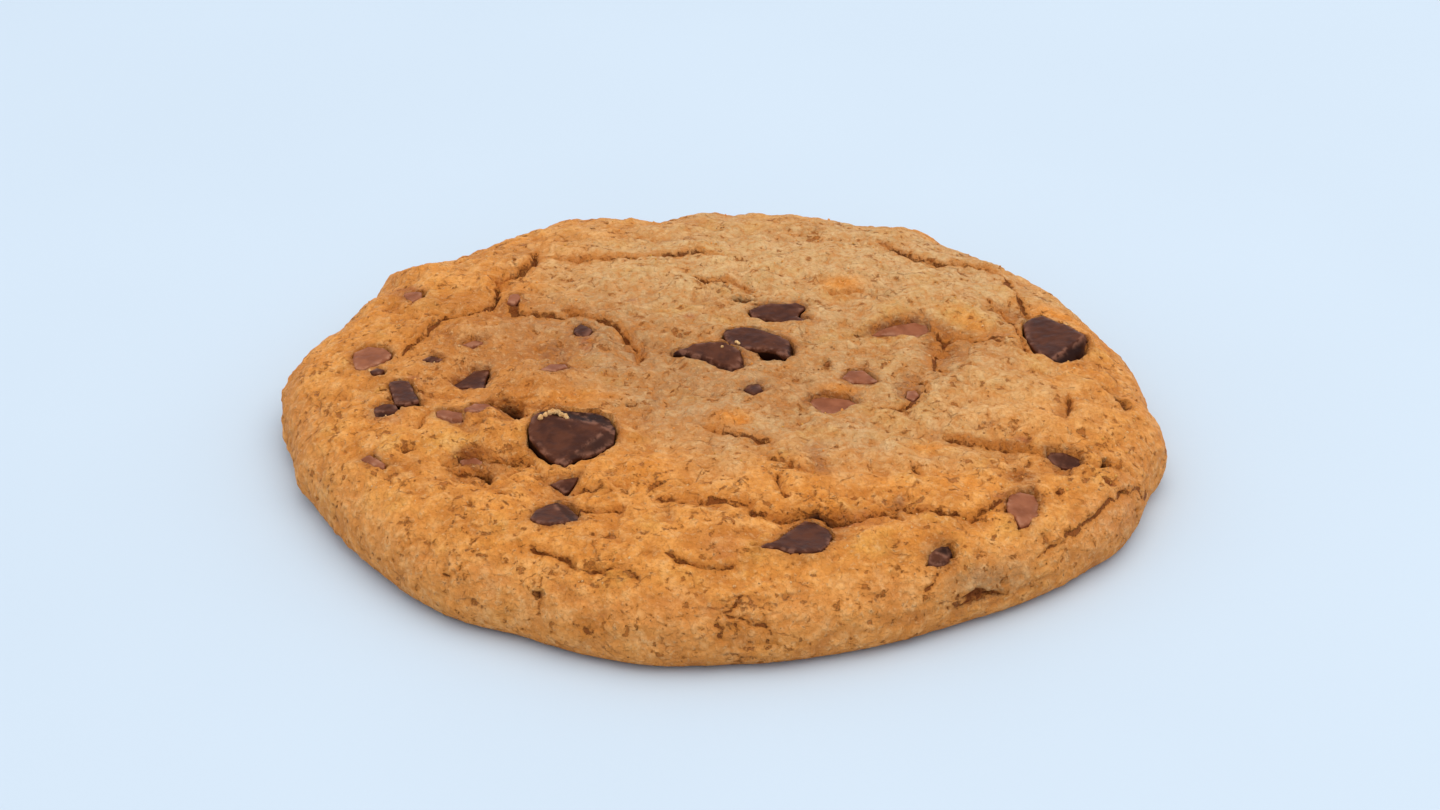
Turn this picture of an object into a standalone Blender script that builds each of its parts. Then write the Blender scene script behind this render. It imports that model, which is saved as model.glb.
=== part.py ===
"""Chocolate chip cookie: one baked dough body, with chocolate chunks set in pockets in its top.

Lengths are in millimetres and angles in degrees. Each mesh is scaled to metres when it is made.
The origin is at the bottom centre. +X runs along the cookie's width and +Z is up.
"""

import math
from collections import namedtuple

import bmesh
import bpy
import numpy as np
from mathutils import Vector, noise

MM = 0.001

# Driving dimensions of the dough
HALF_WIDTH = 47.6
HALF_DEPTH = 45.3
WIDEST_LINE = 3.0
FOOT_INSET = 2.6
SHOULDER = 10.0
RIM_HEIGHT = 9.0
MIDDLE_HEIGHT = 11.0
ROUNDNESS = 2.2

# How the dough's mesh is divided: faces along a cube's edge, and their shares on top and down to the foot
DIVISIONS = 28
TOP_SHARE = 0.70
SIDE_SHARE = 0.82

# Chocolate
GAP = 0.35
CHUNK_DEPTH = 4.0
CHUNK_EDGE = 0.55
CHIP_DEPTH = 1.6
CHIP_EDGE = 0.3
NUGGET_SIDES = 6
CHIP_SIDES = 5
UNEVEN = 0.16
CUTTER_RISE = 6.0
SLOPE_REACH = 2.5
STEEPEST = 0.5

# Relief: how sharply a fold steps, how far its step reaches, and how it fades at its ends and down the side
STEP_SHARPNESS = 2.0
STEP_REACH = 3.5
END_FADE = 8.0
END_DEPTH = 0.25
SIDE_RELIEF = 0.35
FLARE_POWER = 1.6

# Baked surface: two sizes of crags
COARSE_CRAGS = 0.35
COARSE_SIZE = 7.0
FINE_CRAGS = 0.25
FINE_SIZE = 3.2

SMOOTH_ANGLE = 40
FLAT = 1e-6

Bulge = namedtuple("Bulge", "angle spread amount")
Lump = namedtuple("Lump", "x y long wide turn rise")
Fold = namedtuple("Fold", "width depth step points")
Chunk = namedtuple("Chunk", "name kind proud lean corners")
Nugget = namedtuple("Nugget", "name kind x y long wide turn proud")

# Where the outline leaves the plain oval
BULGES = (
    Bulge(350, 6, 1.7),
    Bulge(333, 9, 1.7),
    Bulge(320, 6, 0.4),
    Bulge(304, 8, -0.5),
    Bulge(292, 14, -0.6),
    Bulge(262, 7, 0.5),
    Bulge(243, 6, -0.9),
    Bulge(215, 14, -1.4),
    Bulge(201, 8, -0.9),
    Bulge(189, 5, -0.6),
    Bulge(173, 8, 1.1),
    Bulge(159, 5, -0.5),
    Bulge(145, 5, 2.1),
    Bulge(114, 7, 1.7),
    Bulge(100, 4, -1.6),
    Bulge(58.5, 3.8, 2.2),
    Bulge(45, 7, -0.5),
    Bulge(22, 12, -0.9),
)

# Broad swells and hollows of the top: place, half lengths, turn of the long one, and rise
LUMPS = (
    Lump(0.5, 22.0, 13.0, 7.0, 0, 0.9),
    Lump(23.0, 17.0, 10.0, 5.0, -30, 1.1),
    Lump(29.0, -3.0, 9.0, 9.0, 0, 1.1),
    Lump(-2.0, -33.5, 8.0, 4.5, 0, 1.1),
    Lump(20.5, -34.0, 6.5, 3.5, 15, 1.0),
    Lump(-7.5, -23.0, 3.5, 3.0, 0, 0.9),
    Lump(6.0, -24.0, 8.0, 5.0, 0, 0.8),
    Lump(-24.0, -13.5, 2.6, 3.2, 20, 1.3),
    Lump(-20.0, -3.5, 4.5, 3.2, -10, 1.1),
    Lump(-27.5, 8.5, 6.0, 3.5, 20, 0.8),
    Lump(14.0, 19.5, 2.2, 1.8, 0, 0.9),
    Lump(1.5, -12.3, 1.8, 1.8, 0, 0.8),
    Lump(-12.0, -26.5, 2.0, 2.0, 0, 0.9),
    Lump(38.0, -10.0, 4.0, 3.0, 30, 0.7),
    Lump(-35.0, 22.0, 5.0, 6.0, -30, 0.9),
    Lump(-26.5, -1.5, 4.0, 4.0, 0, -1.4),
    Lump(-18.3, 3.0, 3.0, 3.0, 0, -1.1),
    Lump(-22.0, -9.8, 1.8, 1.6, -40, -2.4),
    Lump(-25.0, -20.0, 4.0, 2.4, -10, -1.6),
    Lump(-16.5, -26.0, 2.6, 3.0, 0, -1.3),
    Lump(24.5, 4.0, 2.6, 5.0, -10, -1.5),
    Lump(20.0, 8.0, 4.5, 2.0, 15, -1.2),
    Lump(29.0, -16.5, 5.0, 2.0, -15, -1.3),
    Lump(36.0, -19.2, 2.4, 1.8, -10, -1.6),
    Lump(31.5, -24.0, 1.6, 3.5, 5, -1.0),
    Lump(9.5, -32.0, 4.0, 1.8, 0, -1.4),
    Lump(20.5, -5.0, 2.2, 4.5, 0, -0.9),
    Lump(12.5, -8.5, 3.4, 2.8, 0, -0.8),
    Lump(33.5, 14.5, 3.0, 3.0, 0, -1.0),
    Lump(-9.0, 3.5, 2.0, 3.0, 0, -0.8),
)

# Folds and cracks: half width, depth, and how much higher the left-hand side stands, walking along the points
FOLDS = (
    Fold(1.4, 2.2, -0.9, ((-20.8, 29), (-21.4, 25), (-23.5, 22.5), (-25.6, 19.5), (-25.4, 16.8), (-26.6, 12.6))),
    Fold(1.0, 1.0, 0.6, ((-20.5, 28), (-19.3, 26.4), (-12.5, 27), (-5.5, 26.4), (0.5, 27.2))),
    Fold(1.1, 1.5, 0.7, ((-24, 16), (-22.6, 13.6), (-19.5, 11.6), (-16, 12.2), (-12.6, 9.2), (-9.4, 3.6))),
    Fold(1.1, 1.2, -0.5, ((-31.4, 11.5), (-33.4, 8.2), (-34.8, 3))),
    Fold(1.3, 1.9, 1.2, ((1.5, -27.6), (5, -30.4), (9, -31), (12, -30.8), (17.5, -30.6))),
    Fold(1.1, 1.3, 0.9, ((17.5, -30.6), (20.4, -28.5), (25.6, -29.8), (29, -26))),
    Fold(1.0, 1.1, 0.6, ((-13.5, -28.6), (-7.5, -28.4), (-3.5, -27.5), (1.5, -27.8))),
    Fold(1.1, 1.1, 0.7, ((18.4, 33), (20, 29.4), (23.6, 25.6), (30, 24.5))),
    Fold(1.2, 1.5, -1.0, ((30, 19), (31.8, 14.6), (33.4, 9.5), (34.4, 4.5))),
    Fold(1.1, 1.3, 0.6, ((41.2, -21.8), (45.4, -20.2))),
    Fold(1.0, 1.2, 0.4, ((-19.6, -34.8), (-16, -36.6), (-14.4, -38), (-10, -39.4))),
    Fold(1.0, 1.0, 0.6, ((-5.6, -36.4), (-3.6, -38.2), (0.6, -39.4))),
    Fold(0.9, 0.9, 0.2, ((21.6, -36.4), (22.2, -37.6), (20.6, -39.4), (20.2, -41.4))),
    Fold(0.9, 0.9, 0.3, ((-1.6, -13.6), (0.4, -15.2), (3, -16.2), (5.8, -16.6))),
    Fold(0.9, 0.9, 0.3, ((24, -14.4), (25.6, -16), (28.4, -16), (33, -17.4))),
    Fold(0.9, 0.9, 0.2, ((5, -20), (8, -21.6), (10, -23.4))),
    Fold(0.9, 1.0, 0.3, ((38, -19.4), (41, -17.8), (44.4, -16.8))),
    Fold(0.9, 0.9, 0.2, ((0.6, -41.8), (3, -42.6), (1.2, -44.2), (5.2, -45))),
)

# Chocolate with a form of its own: height above the dough, lean towards the front, and corners in plan
LARGE_CHUNK = (
    (-19.8, -13.4), (-18.3, -19), (-15.6, -21.4), (-11.8, -18.6), (-10.8, -14.6), (-12.6, -10.6), (-18.8, -10.4),
)
RIGHT_CHUNK = ((34, 9.4), (34.8, 4), (37.4, 1.4), (39.6, 4.4), (41.2, 9.8), (37, 13))
MIDDLE_CHUNK = ((0.4, 6.4), (1, 3), (4, 1.8), (7.6, 0.4), (8.4, 3), (5.8, 6.2), (2.6, 7.6))
MIDDLE_LEFT_CHUNK = ((-5.2, 2.2), (-2, -0.2), (1.2, -2.6), (2.9, -1.4), (1.6, 1.4), (-1, 4.2))
BACK_CHUNK = ((3.4, 12.8), (4.2, 10.2), (8.4, 9.6), (9.8, 13.4), (6.4, 14))
FRONT_CHUNK = ((5.6, -35.4), (7.8, -37), (10.4, -36.4), (11.5, -34.4), (9.4, -32.6), (7.4, -33))
LEFT_HOLLOW_CHUNK = ((-28.6, -4.6), (-25, -5.4), (-24.8, -1.6), (-26.6, -2))
LEFT_BAR = ((-35.4, -3), (-34, -7.4), (-32, -7), (-33.4, -2.8))
FRONT_LEFT_CHUNK = ((-19, -30.4), (-17, -32), (-15, -31.4), (-14.8, -29), (-17.2, -28.4))
FRONT_MILK_CHUNK = ((29.6, -27.2), (30.4, -29.8), (32.6, -28.8), (33, -26.4), (31.2, -25.2))
MIDDLE_MILK_CHUNK = ((10, -9.6), (11.4, -11.4), (13.6, -11.6), (14.9, -9.4), (13, -7.9), (11, -8.2))
LEFT_EDGE_SLAB = ((-40, 2.8), (-38.2, 0.4), (-35.6, 1.8), (-35.4, 4.4), (-38.2, 5.6))
CHUNKS = (
    Chunk("chunk_large", "dark", 1.5, 8, LARGE_CHUNK),
    Chunk("chunk_right", "dark", 0.4, 6, RIGHT_CHUNK),
    Chunk("chunk_middle", "dark", 0.5, 4, MIDDLE_CHUNK),
    Chunk("chunk_middle_left", "dark", 0.6, 10, MIDDLE_LEFT_CHUNK),
    Chunk("chunk_back", "dark", 0.1, 6, BACK_CHUNK),
    Chunk("chunk_front", "dark", 0.2, 8, FRONT_CHUNK),
    Chunk("chunk_left_hollow", "dark", -0.2, 4, LEFT_HOLLOW_CHUNK),
    Chunk("bar_left", "dark", 0.3, 0, LEFT_BAR),
    Chunk("chunk_front_left", "dark", 0.4, 6, FRONT_LEFT_CHUNK),
    Chunk("chunk_milk_front", "milk", -0.2, 8, FRONT_MILK_CHUNK),
    Chunk("chunk_milk_middle", "milk", -0.5, 10, MIDDLE_MILK_CHUNK),
    Chunk("slab_left_edge", "milk", -0.1, 0, LEFT_EDGE_SLAB),
)

# Smaller chocolate, cut by one rule: place, half lengths, turn, and height above the dough
NUGGETS = (
    Nugget("nugget_left", "dark", -35.3, -9.0, 1.8, 1.5, 10, 0.3),
    Nugget("nugget_hollow", "dark", -15.8, -25.2, 1.7, 1.5, 30, 0.1),
    Nugget("nugget_upper_left", "dark", -15.0, 6.8, 1.9, 1.3, 70, 0.1),
    Nugget("nugget_back_right", "milk", 20.6, 7.5, 2.7, 1.5, 12, -0.3),
    Nugget("nugget_pit", "dark", 36.0, -19.4, 1.6, 1.3, -20, -0.8),
    Nugget("nugget_front_pit", "dark", 22.4, -35.2, 1.6, 1.2, 50, -0.6),
    Nugget("nugget_valley", "milk", -25.4, -20.2, 2.3, 1.6, -25, -0.4),
    Nugget("nugget_milk_left", "milk", -28.2, -11.4, 1.8, 1.6, -30, 0.2),
    Nugget("nugget_milk_ridge", "milk", -25.2, -9.4, 1.9, 1.2, 0, 0.1),
    Nugget("nugget_milk_right", "milk", 15.5, -3.6, 2.1, 1.5, -30, 0.0),
    Nugget("nugget_back_left", "milk", -34.4, 17.4, 1.9, 1.4, -60, 0.0),
)

# Chips too small to be solids of their own, which are one with the dough
CHIPS = (
    Nugget("chip_left_edge", "dark", -37.2, -0.5, 1.1, 0.9, 0, 0.2),
    Nugget("chip_left", "dark", -31.4, 1.7, 1.5, 1.0, 0, 0.2),
    Nugget("chip_middle", "dark", 3.9, -6.7, 1.2, 1.0, 80, 0.2),
    Nugget("chip_upper_left", "milk", -26.9, 4.6, 1.5, 1.0, 10, 0.2),
    Nugget("chip_ridge", "milk", -17.7, -1.3, 1.6, 1.0, 10, 0.2),
    Nugget("chip_back_left", "milk", -23.0, 15.4, 1.3, 1.1, 60, 0.2),
    Nugget("chip_right", "milk", 20.8, -7.4, 1.4, 1.0, 60, 0.2),
    Nugget("chip_valley", "milk", 32.0, -15.2, 1.2, 1.0, 60, 0.2),
    Nugget("chip_front_left", "milk", -35.9, -18.4, 1.7, 0.9, -50, 0.2),
)

# Colours as red, green, blue in linear light
DOUGH_COLOUR = (0.52, 0.26, 0.09, 1)
DARK_COLOUR = (0.035, 0.015, 0.011, 1)
MILK_COLOUR = (0.20, 0.075, 0.040, 1)


def outline_radius(theta):
    """The outline's distance from the plan's middle at these angles, in radians."""
    radius = 1 / np.hypot(np.cos(theta) / HALF_WIDTH, np.sin(theta) / HALF_DEPTH)
    for bulge in BULGES:
        away = (np.degrees(theta) - bulge.angle + 180) % 360 - 180
        radius = radius + bulge.amount * np.exp(-((away / bulge.spread) ** 2))
    return radius


def outline_middle():
    """The middle of the outline's box, which becomes the origin."""
    theta = np.radians(np.arange(0, 360, 0.5))
    radius = outline_radius(theta)
    x = radius * np.cos(theta)
    y = radius * np.sin(theta)
    return (x.max() + x.min()) / 2, (y.max() + y.min()) / 2


def plain_height(x, y):
    """The height of the smooth top over each plan point, and how far it is up the shoulder, from 0 to 1."""
    radius = outline_radius(np.arctan2(y, x))
    inside = np.clip(radius - np.hypot(x, y), 0, None)
    up = np.clip(inside / SHOULDER, 0, 1)
    shoulder = (1 - (1 - up) ** ROUNDNESS) ** (1 / ROUNDNESS)
    dome = (MIDDLE_HEIGHT - RIM_HEIGHT) * (1 - (1 - inside / radius) ** 2)
    return WIDEST_LINE + (RIM_HEIGHT - WIDEST_LINE + dome) * shoulder, up


def lump_rise(x, y, lump):
    turn = math.radians(lump.turn)
    along = (x - lump.x) * math.cos(turn) + (y - lump.y) * math.sin(turn)
    across = (y - lump.y) * math.cos(turn) - (x - lump.x) * math.sin(turn)
    return lump.rise * np.exp(-((along / lump.long) ** 2) - (across / lump.wide) ** 2)


def to_line(x, y, points):
    """Distance from each plan point to the line, positive on its left, and how far along it, from 0 to 1."""
    ends = np.array(points, float)
    lengths = np.hypot(*np.diff(ends, axis=0).T)
    starts = np.concatenate([[0], np.cumsum(lengths)])
    best = np.full(x.shape, np.inf)
    side = np.ones(x.shape)
    along = np.zeros(x.shape)
    for (x0, y0), (x1, y1), length, start in zip(ends[:-1], ends[1:], lengths, starts):
        ahead = ((x - x0) * (x1 - x0) + (y - y0) * (y1 - y0)) / length**2
        part = np.clip(ahead, 0, 1)
        away = np.hypot(x - x0 - part * (x1 - x0), y - y0 - part * (y1 - y0))
        near = away < best
        best = np.where(near, away, best)
        turn = (x1 - x0) * (y - y0) - (y1 - y0) * (x - x0)
        side = np.where(near, np.sign(turn), side)
        along = np.where(near, (start + part * length) / starts[-1], along)
    return best * side, along


def fold_rise(x, y, fold):
    """A groove whose left side stands higher than its right, fading out at both ends."""
    away, along = to_line(x, y, fold.points)
    fade = np.clip(END_FADE * along * (1 - along) + END_DEPTH, 0, 1)
    groove = -fold.depth * np.exp(-((away / fold.width) ** 2))
    nearness = np.exp(-((away / (STEP_REACH * fold.width)) ** 2))
    step = fold.step / 2 * np.tanh(STEP_SHARPNESS * away / fold.width) * nearness
    return (groove + step) * fade


def relief(x, y):
    rise = np.zeros(x.shape)
    for lump in LUMPS:
        rise += lump_rise(x, y, lump)
    for fold in FOLDS:
        rise += fold_rise(x, y, fold)
    return rise


def crags(points):
    """Uneven baked surface: two sizes of noise, as a distance along the surface's normal."""
    coarse = np.array([noise.noise(Vector(point) / COARSE_SIZE) for point in points])
    fine = np.array([noise.noise(Vector(point) / FINE_SIZE) for point in points])
    return COARSE_CRAGS * coarse + FINE_CRAGS * fine


def dough_points(directions):
    """Moves the points of a unit sphere onto the dough's surface."""
    x, y, z = directions.T
    theta = np.arctan2(y, x)
    share = (1 - z) / 2
    radius = outline_radius(theta)
    on_top = share < TOP_SHARE
    on_foot = share > SIDE_SHARE

    top_reach = radius * np.sqrt(share / TOP_SHARE)
    side_turn = np.clip((share - TOP_SHARE) / (SIDE_SHARE - TOP_SHARE), 0, 1) * math.pi / 2
    side_reach = radius - FOOT_INSET * (1 - np.cos(side_turn))
    foot_reach = (radius - FOOT_INSET) * np.sqrt((1 - share) / (1 - SIDE_SHARE))
    reach = np.where(on_top, top_reach, np.where(on_foot, foot_reach, side_reach))
    plan_x = reach * np.cos(theta)
    plan_y = reach * np.sin(theta)

    top, up = plain_height(plan_x, plan_y)
    side = WIDEST_LINE * (1 - np.sin(side_turn))
    height = np.where(on_top, top, np.where(on_foot, 0, side))

    flare = np.where(on_top, math.pi / 2 * (1 - up) ** FLARE_POWER, math.pi / 2 + side_turn)
    shift = relief(plan_x, plan_y) + crags(np.stack([plan_x, plan_y, height], axis=1))
    top_fade = SIDE_RELIEF + (1 - SIDE_RELIEF) * up
    side_fade = SIDE_RELIEF * (1 - np.sin(side_turn))
    shift *= np.where(on_top, top_fade, np.where(on_foot, 0, side_fade))
    plan_x = plan_x + shift * np.sin(flare) * np.cos(theta)
    plan_y = plan_y + shift * np.sin(flare) * np.sin(theta)
    height = height + shift * np.cos(flare)
    return np.stack([plan_x, plan_y, np.clip(height, 0, None)], axis=1)


def surface_height(x, y):
    """The dough's height at one plan point, without crags."""
    x = np.array([float(x)])
    y = np.array([float(y)])
    top, _ = plain_height(x, y)
    return float((top + relief(x, y))[0])


def grown(corners, by):
    """The outline moved outwards by a distance. Its corners run anticlockwise."""
    ends = np.array(corners, float)
    before = ends - np.roll(ends, 1, axis=0)
    after = np.roll(ends, -1, axis=0) - ends
    before /= np.linalg.norm(before, axis=1)[:, None]
    after /= np.linalg.norm(after, axis=1)[:, None]
    out_before = np.stack([before[:, 1], -before[:, 0]], axis=1)
    out_after = np.stack([after[:, 1], -after[:, 0]], axis=1)
    middle = out_before + out_after
    return ends + by * 2 * middle / (middle**2).sum(axis=1)[:, None]


def nugget_corners(nugget, sides):
    """An angular outline of a nugget, uneven by a rule that depends only on its place."""
    turn = math.radians(nugget.turn)
    corners = []
    for k in range(sides):
        angle = 2 * math.pi * k / sides
        uneven = 1 + UNEVEN * math.sin(3 * k + nugget.x) * math.cos(2 * k + nugget.y)
        along = nugget.long * uneven * math.cos(angle)
        across = nugget.wide * uneven * math.sin(angle)
        x = nugget.x + along * math.cos(turn) - across * math.sin(turn)
        y = nugget.y + along * math.sin(turn) + across * math.cos(turn)
        corners.append((x, y))
    return corners


def build_dough():
    """A cube's surface, divided evenly, rounded to a sphere and moved onto the dough."""
    built = bmesh.new()
    bmesh.ops.create_cube(built, size=2)
    bmesh.ops.subdivide_edges(built, edges=built.edges, cuts=DIVISIONS - 1, use_grid_fill=True)
    cube = np.array([vertex.co for vertex in built.verts])
    even = np.tan(cube * math.pi / 4)
    points = dough_points(even / np.linalg.norm(even, axis=1)[:, None])
    for vertex, point in zip(built.verts, points):
        vertex.co = point
    foot = [face for face in built.faces if all(vertex.co.z < FLAT for vertex in face.verts)]
    bmesh.ops.dissolve_faces(built, faces=foot)
    return built


def top_plane(corners, proud, lean):
    """The plane of a chunk's top: the slope of the dough under it, leant towards the front."""
    x, y = np.mean(corners, axis=0)
    level = surface_height(x, y) + proud
    rise_x = surface_height(x + SLOPE_REACH, y) - surface_height(x - SLOPE_REACH, y)
    rise_y = surface_height(x, y + SLOPE_REACH) - surface_height(x, y - SLOPE_REACH)
    slope_x = min(max(rise_x / (2 * SLOPE_REACH), -STEEPEST), STEEPEST)
    slope_y = min(max(rise_y / (2 * SLOPE_REACH), -STEEPEST), STEEPEST)
    slope_y += math.tan(math.radians(lean))

    def height(at_x, at_y):
        return level + slope_x * (at_x - x) + slope_y * (at_y - y)

    return height


def prism(corners, top_at, bottom):
    """A solid with this outline, a top at the height that top_at gives, and a flat bottom."""
    built = bmesh.new()
    bmesh.ops.create_circle(built, cap_ends=True, segments=len(corners), radius=1)
    base = list(built.faces)[0]
    for vertex, (x, y) in zip(base.verts, corners):
        vertex.co = (x, y, bottom)
    lifted = bmesh.ops.extrude_face_region(built, geom=[base])["geom"]
    for vertex in lifted:
        if isinstance(vertex, bmesh.types.BMVert):
            vertex.co.z = top_at(vertex.co.x, vertex.co.y)
    return built


def build_chunk(corners, proud, lean, depth, edge):
    top_at = top_plane(corners, proud, lean)
    built = prism(corners, top_at, top_at(*np.mean(corners, axis=0)) - depth)
    bmesh.ops.bevel(built, geom=list(built.edges), offset=edge, segments=1, affect="EDGES")
    return built


def build_pocket(corners, proud, lean):
    """The space that a chunk takes out of the dough, open above."""
    middle = top_plane(corners, proud, lean)(*np.mean(corners, axis=0))
    return prism(grown(corners, GAP), lambda x, y: middle + CUTTER_RISE, middle - CHUNK_DEPTH - GAP)


def new_object(name, built, collection, material=None):
    """An object from a bmesh in millimetres, which it frees."""
    middle_x, middle_y = outline_middle()
    bmesh.ops.translate(built, vec=(-middle_x, -middle_y, 0), verts=built.verts)
    bmesh.ops.scale(built, vec=(MM, MM, MM), verts=built.verts)
    bmesh.ops.recalc_face_normals(built, faces=built.faces)
    mesh = bpy.data.meshes.new(name)
    built.to_mesh(mesh)
    built.free()
    mesh.shade_smooth()
    mesh.set_sharp_from_angle(angle=math.radians(SMOOTH_ANGLE))
    obj = bpy.data.objects.new(name, mesh)
    collection.objects.link(obj)
    if material is None:
        obj.hide_render = True
        obj.display_type = "WIRE"
    else:
        mesh.materials.append(material)
    return obj


def new_material(name, colour, roughness):
    made = bpy.data.materials.new(name)
    made.use_nodes = True
    shader = made.node_tree.nodes["Principled BSDF"]
    shader.inputs["Base Color"].default_value = colour
    shader.inputs["Roughness"].default_value = roughness
    shader.inputs["Metallic"].default_value = 0
    return made


def new_collection(name, helper):
    made = bpy.data.collections.new(name)
    bpy.context.scene.collection.children.link(made)
    made.hide_render = helper
    return made


def add_boolean(obj, operation, collection):
    modifier = obj.modifiers.new(collection.name, "BOOLEAN")
    modifier.operation = operation
    modifier.operand_type = "COLLECTION"
    modifier.collection = collection
    modifier.solver = "EXACT"


def main():
    for obj in list(bpy.data.objects):
        bpy.data.objects.remove(obj, do_unlink=True)
    cookie = new_collection("chocolate_chip_cookie", helper=False)
    pockets = new_collection("pockets", helper=True)
    chips = new_collection("chips", helper=True)

    chocolate = {
        "dark": new_material("dark_chocolate", DARK_COLOUR, 0.42),
        "milk": new_material("milk_chocolate", MILK_COLOUR, 0.55),
    }
    baked = new_material("baked_dough", DOUGH_COLOUR, 0.85)
    dough = new_object("dough", build_dough(), cookie, baked)

    pieces = list(CHUNKS)
    for nugget in NUGGETS:
        corners = nugget_corners(nugget, NUGGET_SIDES)
        pieces.append(Chunk(nugget.name, nugget.kind, nugget.proud, 0, corners))
    for piece in pieces:
        solid = build_chunk(piece.corners, piece.proud, piece.lean, CHUNK_DEPTH, CHUNK_EDGE)
        new_object(piece.name, solid, cookie, chocolate[piece.kind])
        space = build_pocket(piece.corners, piece.proud, piece.lean)
        new_object("pocket_" + piece.name, space, pockets)
    for chip in CHIPS:
        corners = nugget_corners(chip, CHIP_SIDES)
        new_object(chip.name, build_chunk(corners, chip.proud, 0, CHIP_DEPTH, CHIP_EDGE), chips)

    add_boolean(dough, "UNION", chips)
    add_boolean(dough, "DIFFERENCE", pockets)


main()
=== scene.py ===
"""The looks of a chocolate chip cookie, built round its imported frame.

The dough is one fine mesh on the same form as the CAD dough, with its cracks, pits and crumb.
Each large piece of chocolate has the outline that shows, with its top a little under the top plane
of its own CAD solid, and each small one follows the dough's slope. Lengths are in millimetres unless a
name says otherwise, in the plan that the part's source uses, and each mesh is scaled to metres when
its object is made.
"""

import math
from collections import namedtuple

import bmesh
import bpy
import numpy as np
from mathutils import Matrix, Vector, noise


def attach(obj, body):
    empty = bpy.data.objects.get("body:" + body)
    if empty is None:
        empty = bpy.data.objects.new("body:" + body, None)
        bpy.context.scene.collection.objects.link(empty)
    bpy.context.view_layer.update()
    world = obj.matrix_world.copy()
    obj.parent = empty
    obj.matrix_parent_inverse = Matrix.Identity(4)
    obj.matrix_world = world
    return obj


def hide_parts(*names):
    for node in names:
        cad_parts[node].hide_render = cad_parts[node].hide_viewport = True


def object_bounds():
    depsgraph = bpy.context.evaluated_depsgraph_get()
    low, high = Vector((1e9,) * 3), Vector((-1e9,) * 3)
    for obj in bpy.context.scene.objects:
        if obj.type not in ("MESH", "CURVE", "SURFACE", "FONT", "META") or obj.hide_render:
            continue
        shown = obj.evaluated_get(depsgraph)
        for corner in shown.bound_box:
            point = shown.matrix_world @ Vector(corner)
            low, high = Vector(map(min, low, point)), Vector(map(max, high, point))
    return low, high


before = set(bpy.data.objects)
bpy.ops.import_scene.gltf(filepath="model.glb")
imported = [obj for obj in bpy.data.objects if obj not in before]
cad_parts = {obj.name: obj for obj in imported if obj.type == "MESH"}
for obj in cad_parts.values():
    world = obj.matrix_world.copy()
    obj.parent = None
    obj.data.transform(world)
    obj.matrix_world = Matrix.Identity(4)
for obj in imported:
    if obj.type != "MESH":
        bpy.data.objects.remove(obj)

CAD_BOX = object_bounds()
MM = 0.001
SEED = 11

# The dough's form
HALF_WIDTH = 47.6
HALF_DEPTH = 45.3
WIDEST_LINE = 3.0
FOOT_INSET = 2.6
SHOULDER = 10.0
RIM_HEIGHT = 9.0
MIDDLE_HEIGHT = 11.0
ROUNDNESS = 2.2
COARSE_CRAGS = 0.35
COARSE_SIZE = 7.0
FINE_CRAGS = 0.25
FINE_SIZE = 3.2
STEP_SHARPNESS = 1.5
STEP_REACH = 3.5
END_FADE = 8.0
END_DEPTH = 0.25
SIDE_RELIEF = 0.35
FLARE_POWER = 1.6

# How the fine mesh is divided
DIVISIONS = 160
KEPT_SHARE = 0.63
TOP_SHARE = 0.80
SIDE_SHARE = 0.93
PROFILE_STEPS = 600

# A fold is a broad groove with a narrow crack in it
BROAD_GROOVE = 0.20
NARROW_GROOVE = 0.80
NARROWNESS = 0.25
FAR_GAP = 3.0
STEEP_SHARE = 0.5

Bulge = namedtuple("Bulge", "angle spread amount")
Lump = namedtuple("Lump", "x y long wide turn rise")
Fold = namedtuple("Fold", "width depth step points")
Chip = namedtuple("Chip", "kind corners")
Hole = namedtuple("Hole", "x y long wide turn depth")
Patch = namedtuple("Patch", "x y long wide turn colour strength")
Facet = namedtuple("Facet", "node start end slope shade")
Plane = namedtuple("Plane", "level slope_x slope_y")
Piece = namedtuple("Piece", "kind corners plane depth flush")
Torn = namedtuple("Torn", "x y long wide turn")
Crumb = namedtuple("Crumb", "node width points")


def rows(kind, *values):
    """One named tuple of this kind for each row of values."""
    return [kind(*row) for row in values]


# The camera, in the plan's millimetres
LENS = 85
CAMERA_PLACE = (0.265, -324.34, 188.0)
CAMERA_TILT = 60.59

BULGES = rows(
    Bulge,
    (350, 6, 1.7), (333, 9, 1.7), (320, 6, 0.4), (304, 8, -0.5), (292, 14, -0.6), (262, 7, 0.5),
    (243, 6, -0.9), (215, 14, -1.4), (201, 8, -0.9), (189, 5, -0.6), (173, 8, 1.1), (159, 5, -0.5),
    (149.5, 2.5, -0.8), (144, 3.4, 2.1), (114, 7, 1.7), (100, 4, -1.6), (58.5, 3.8, 2.2), (45, 7, -0.5),
    (22, 12, -0.9),
)

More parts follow.
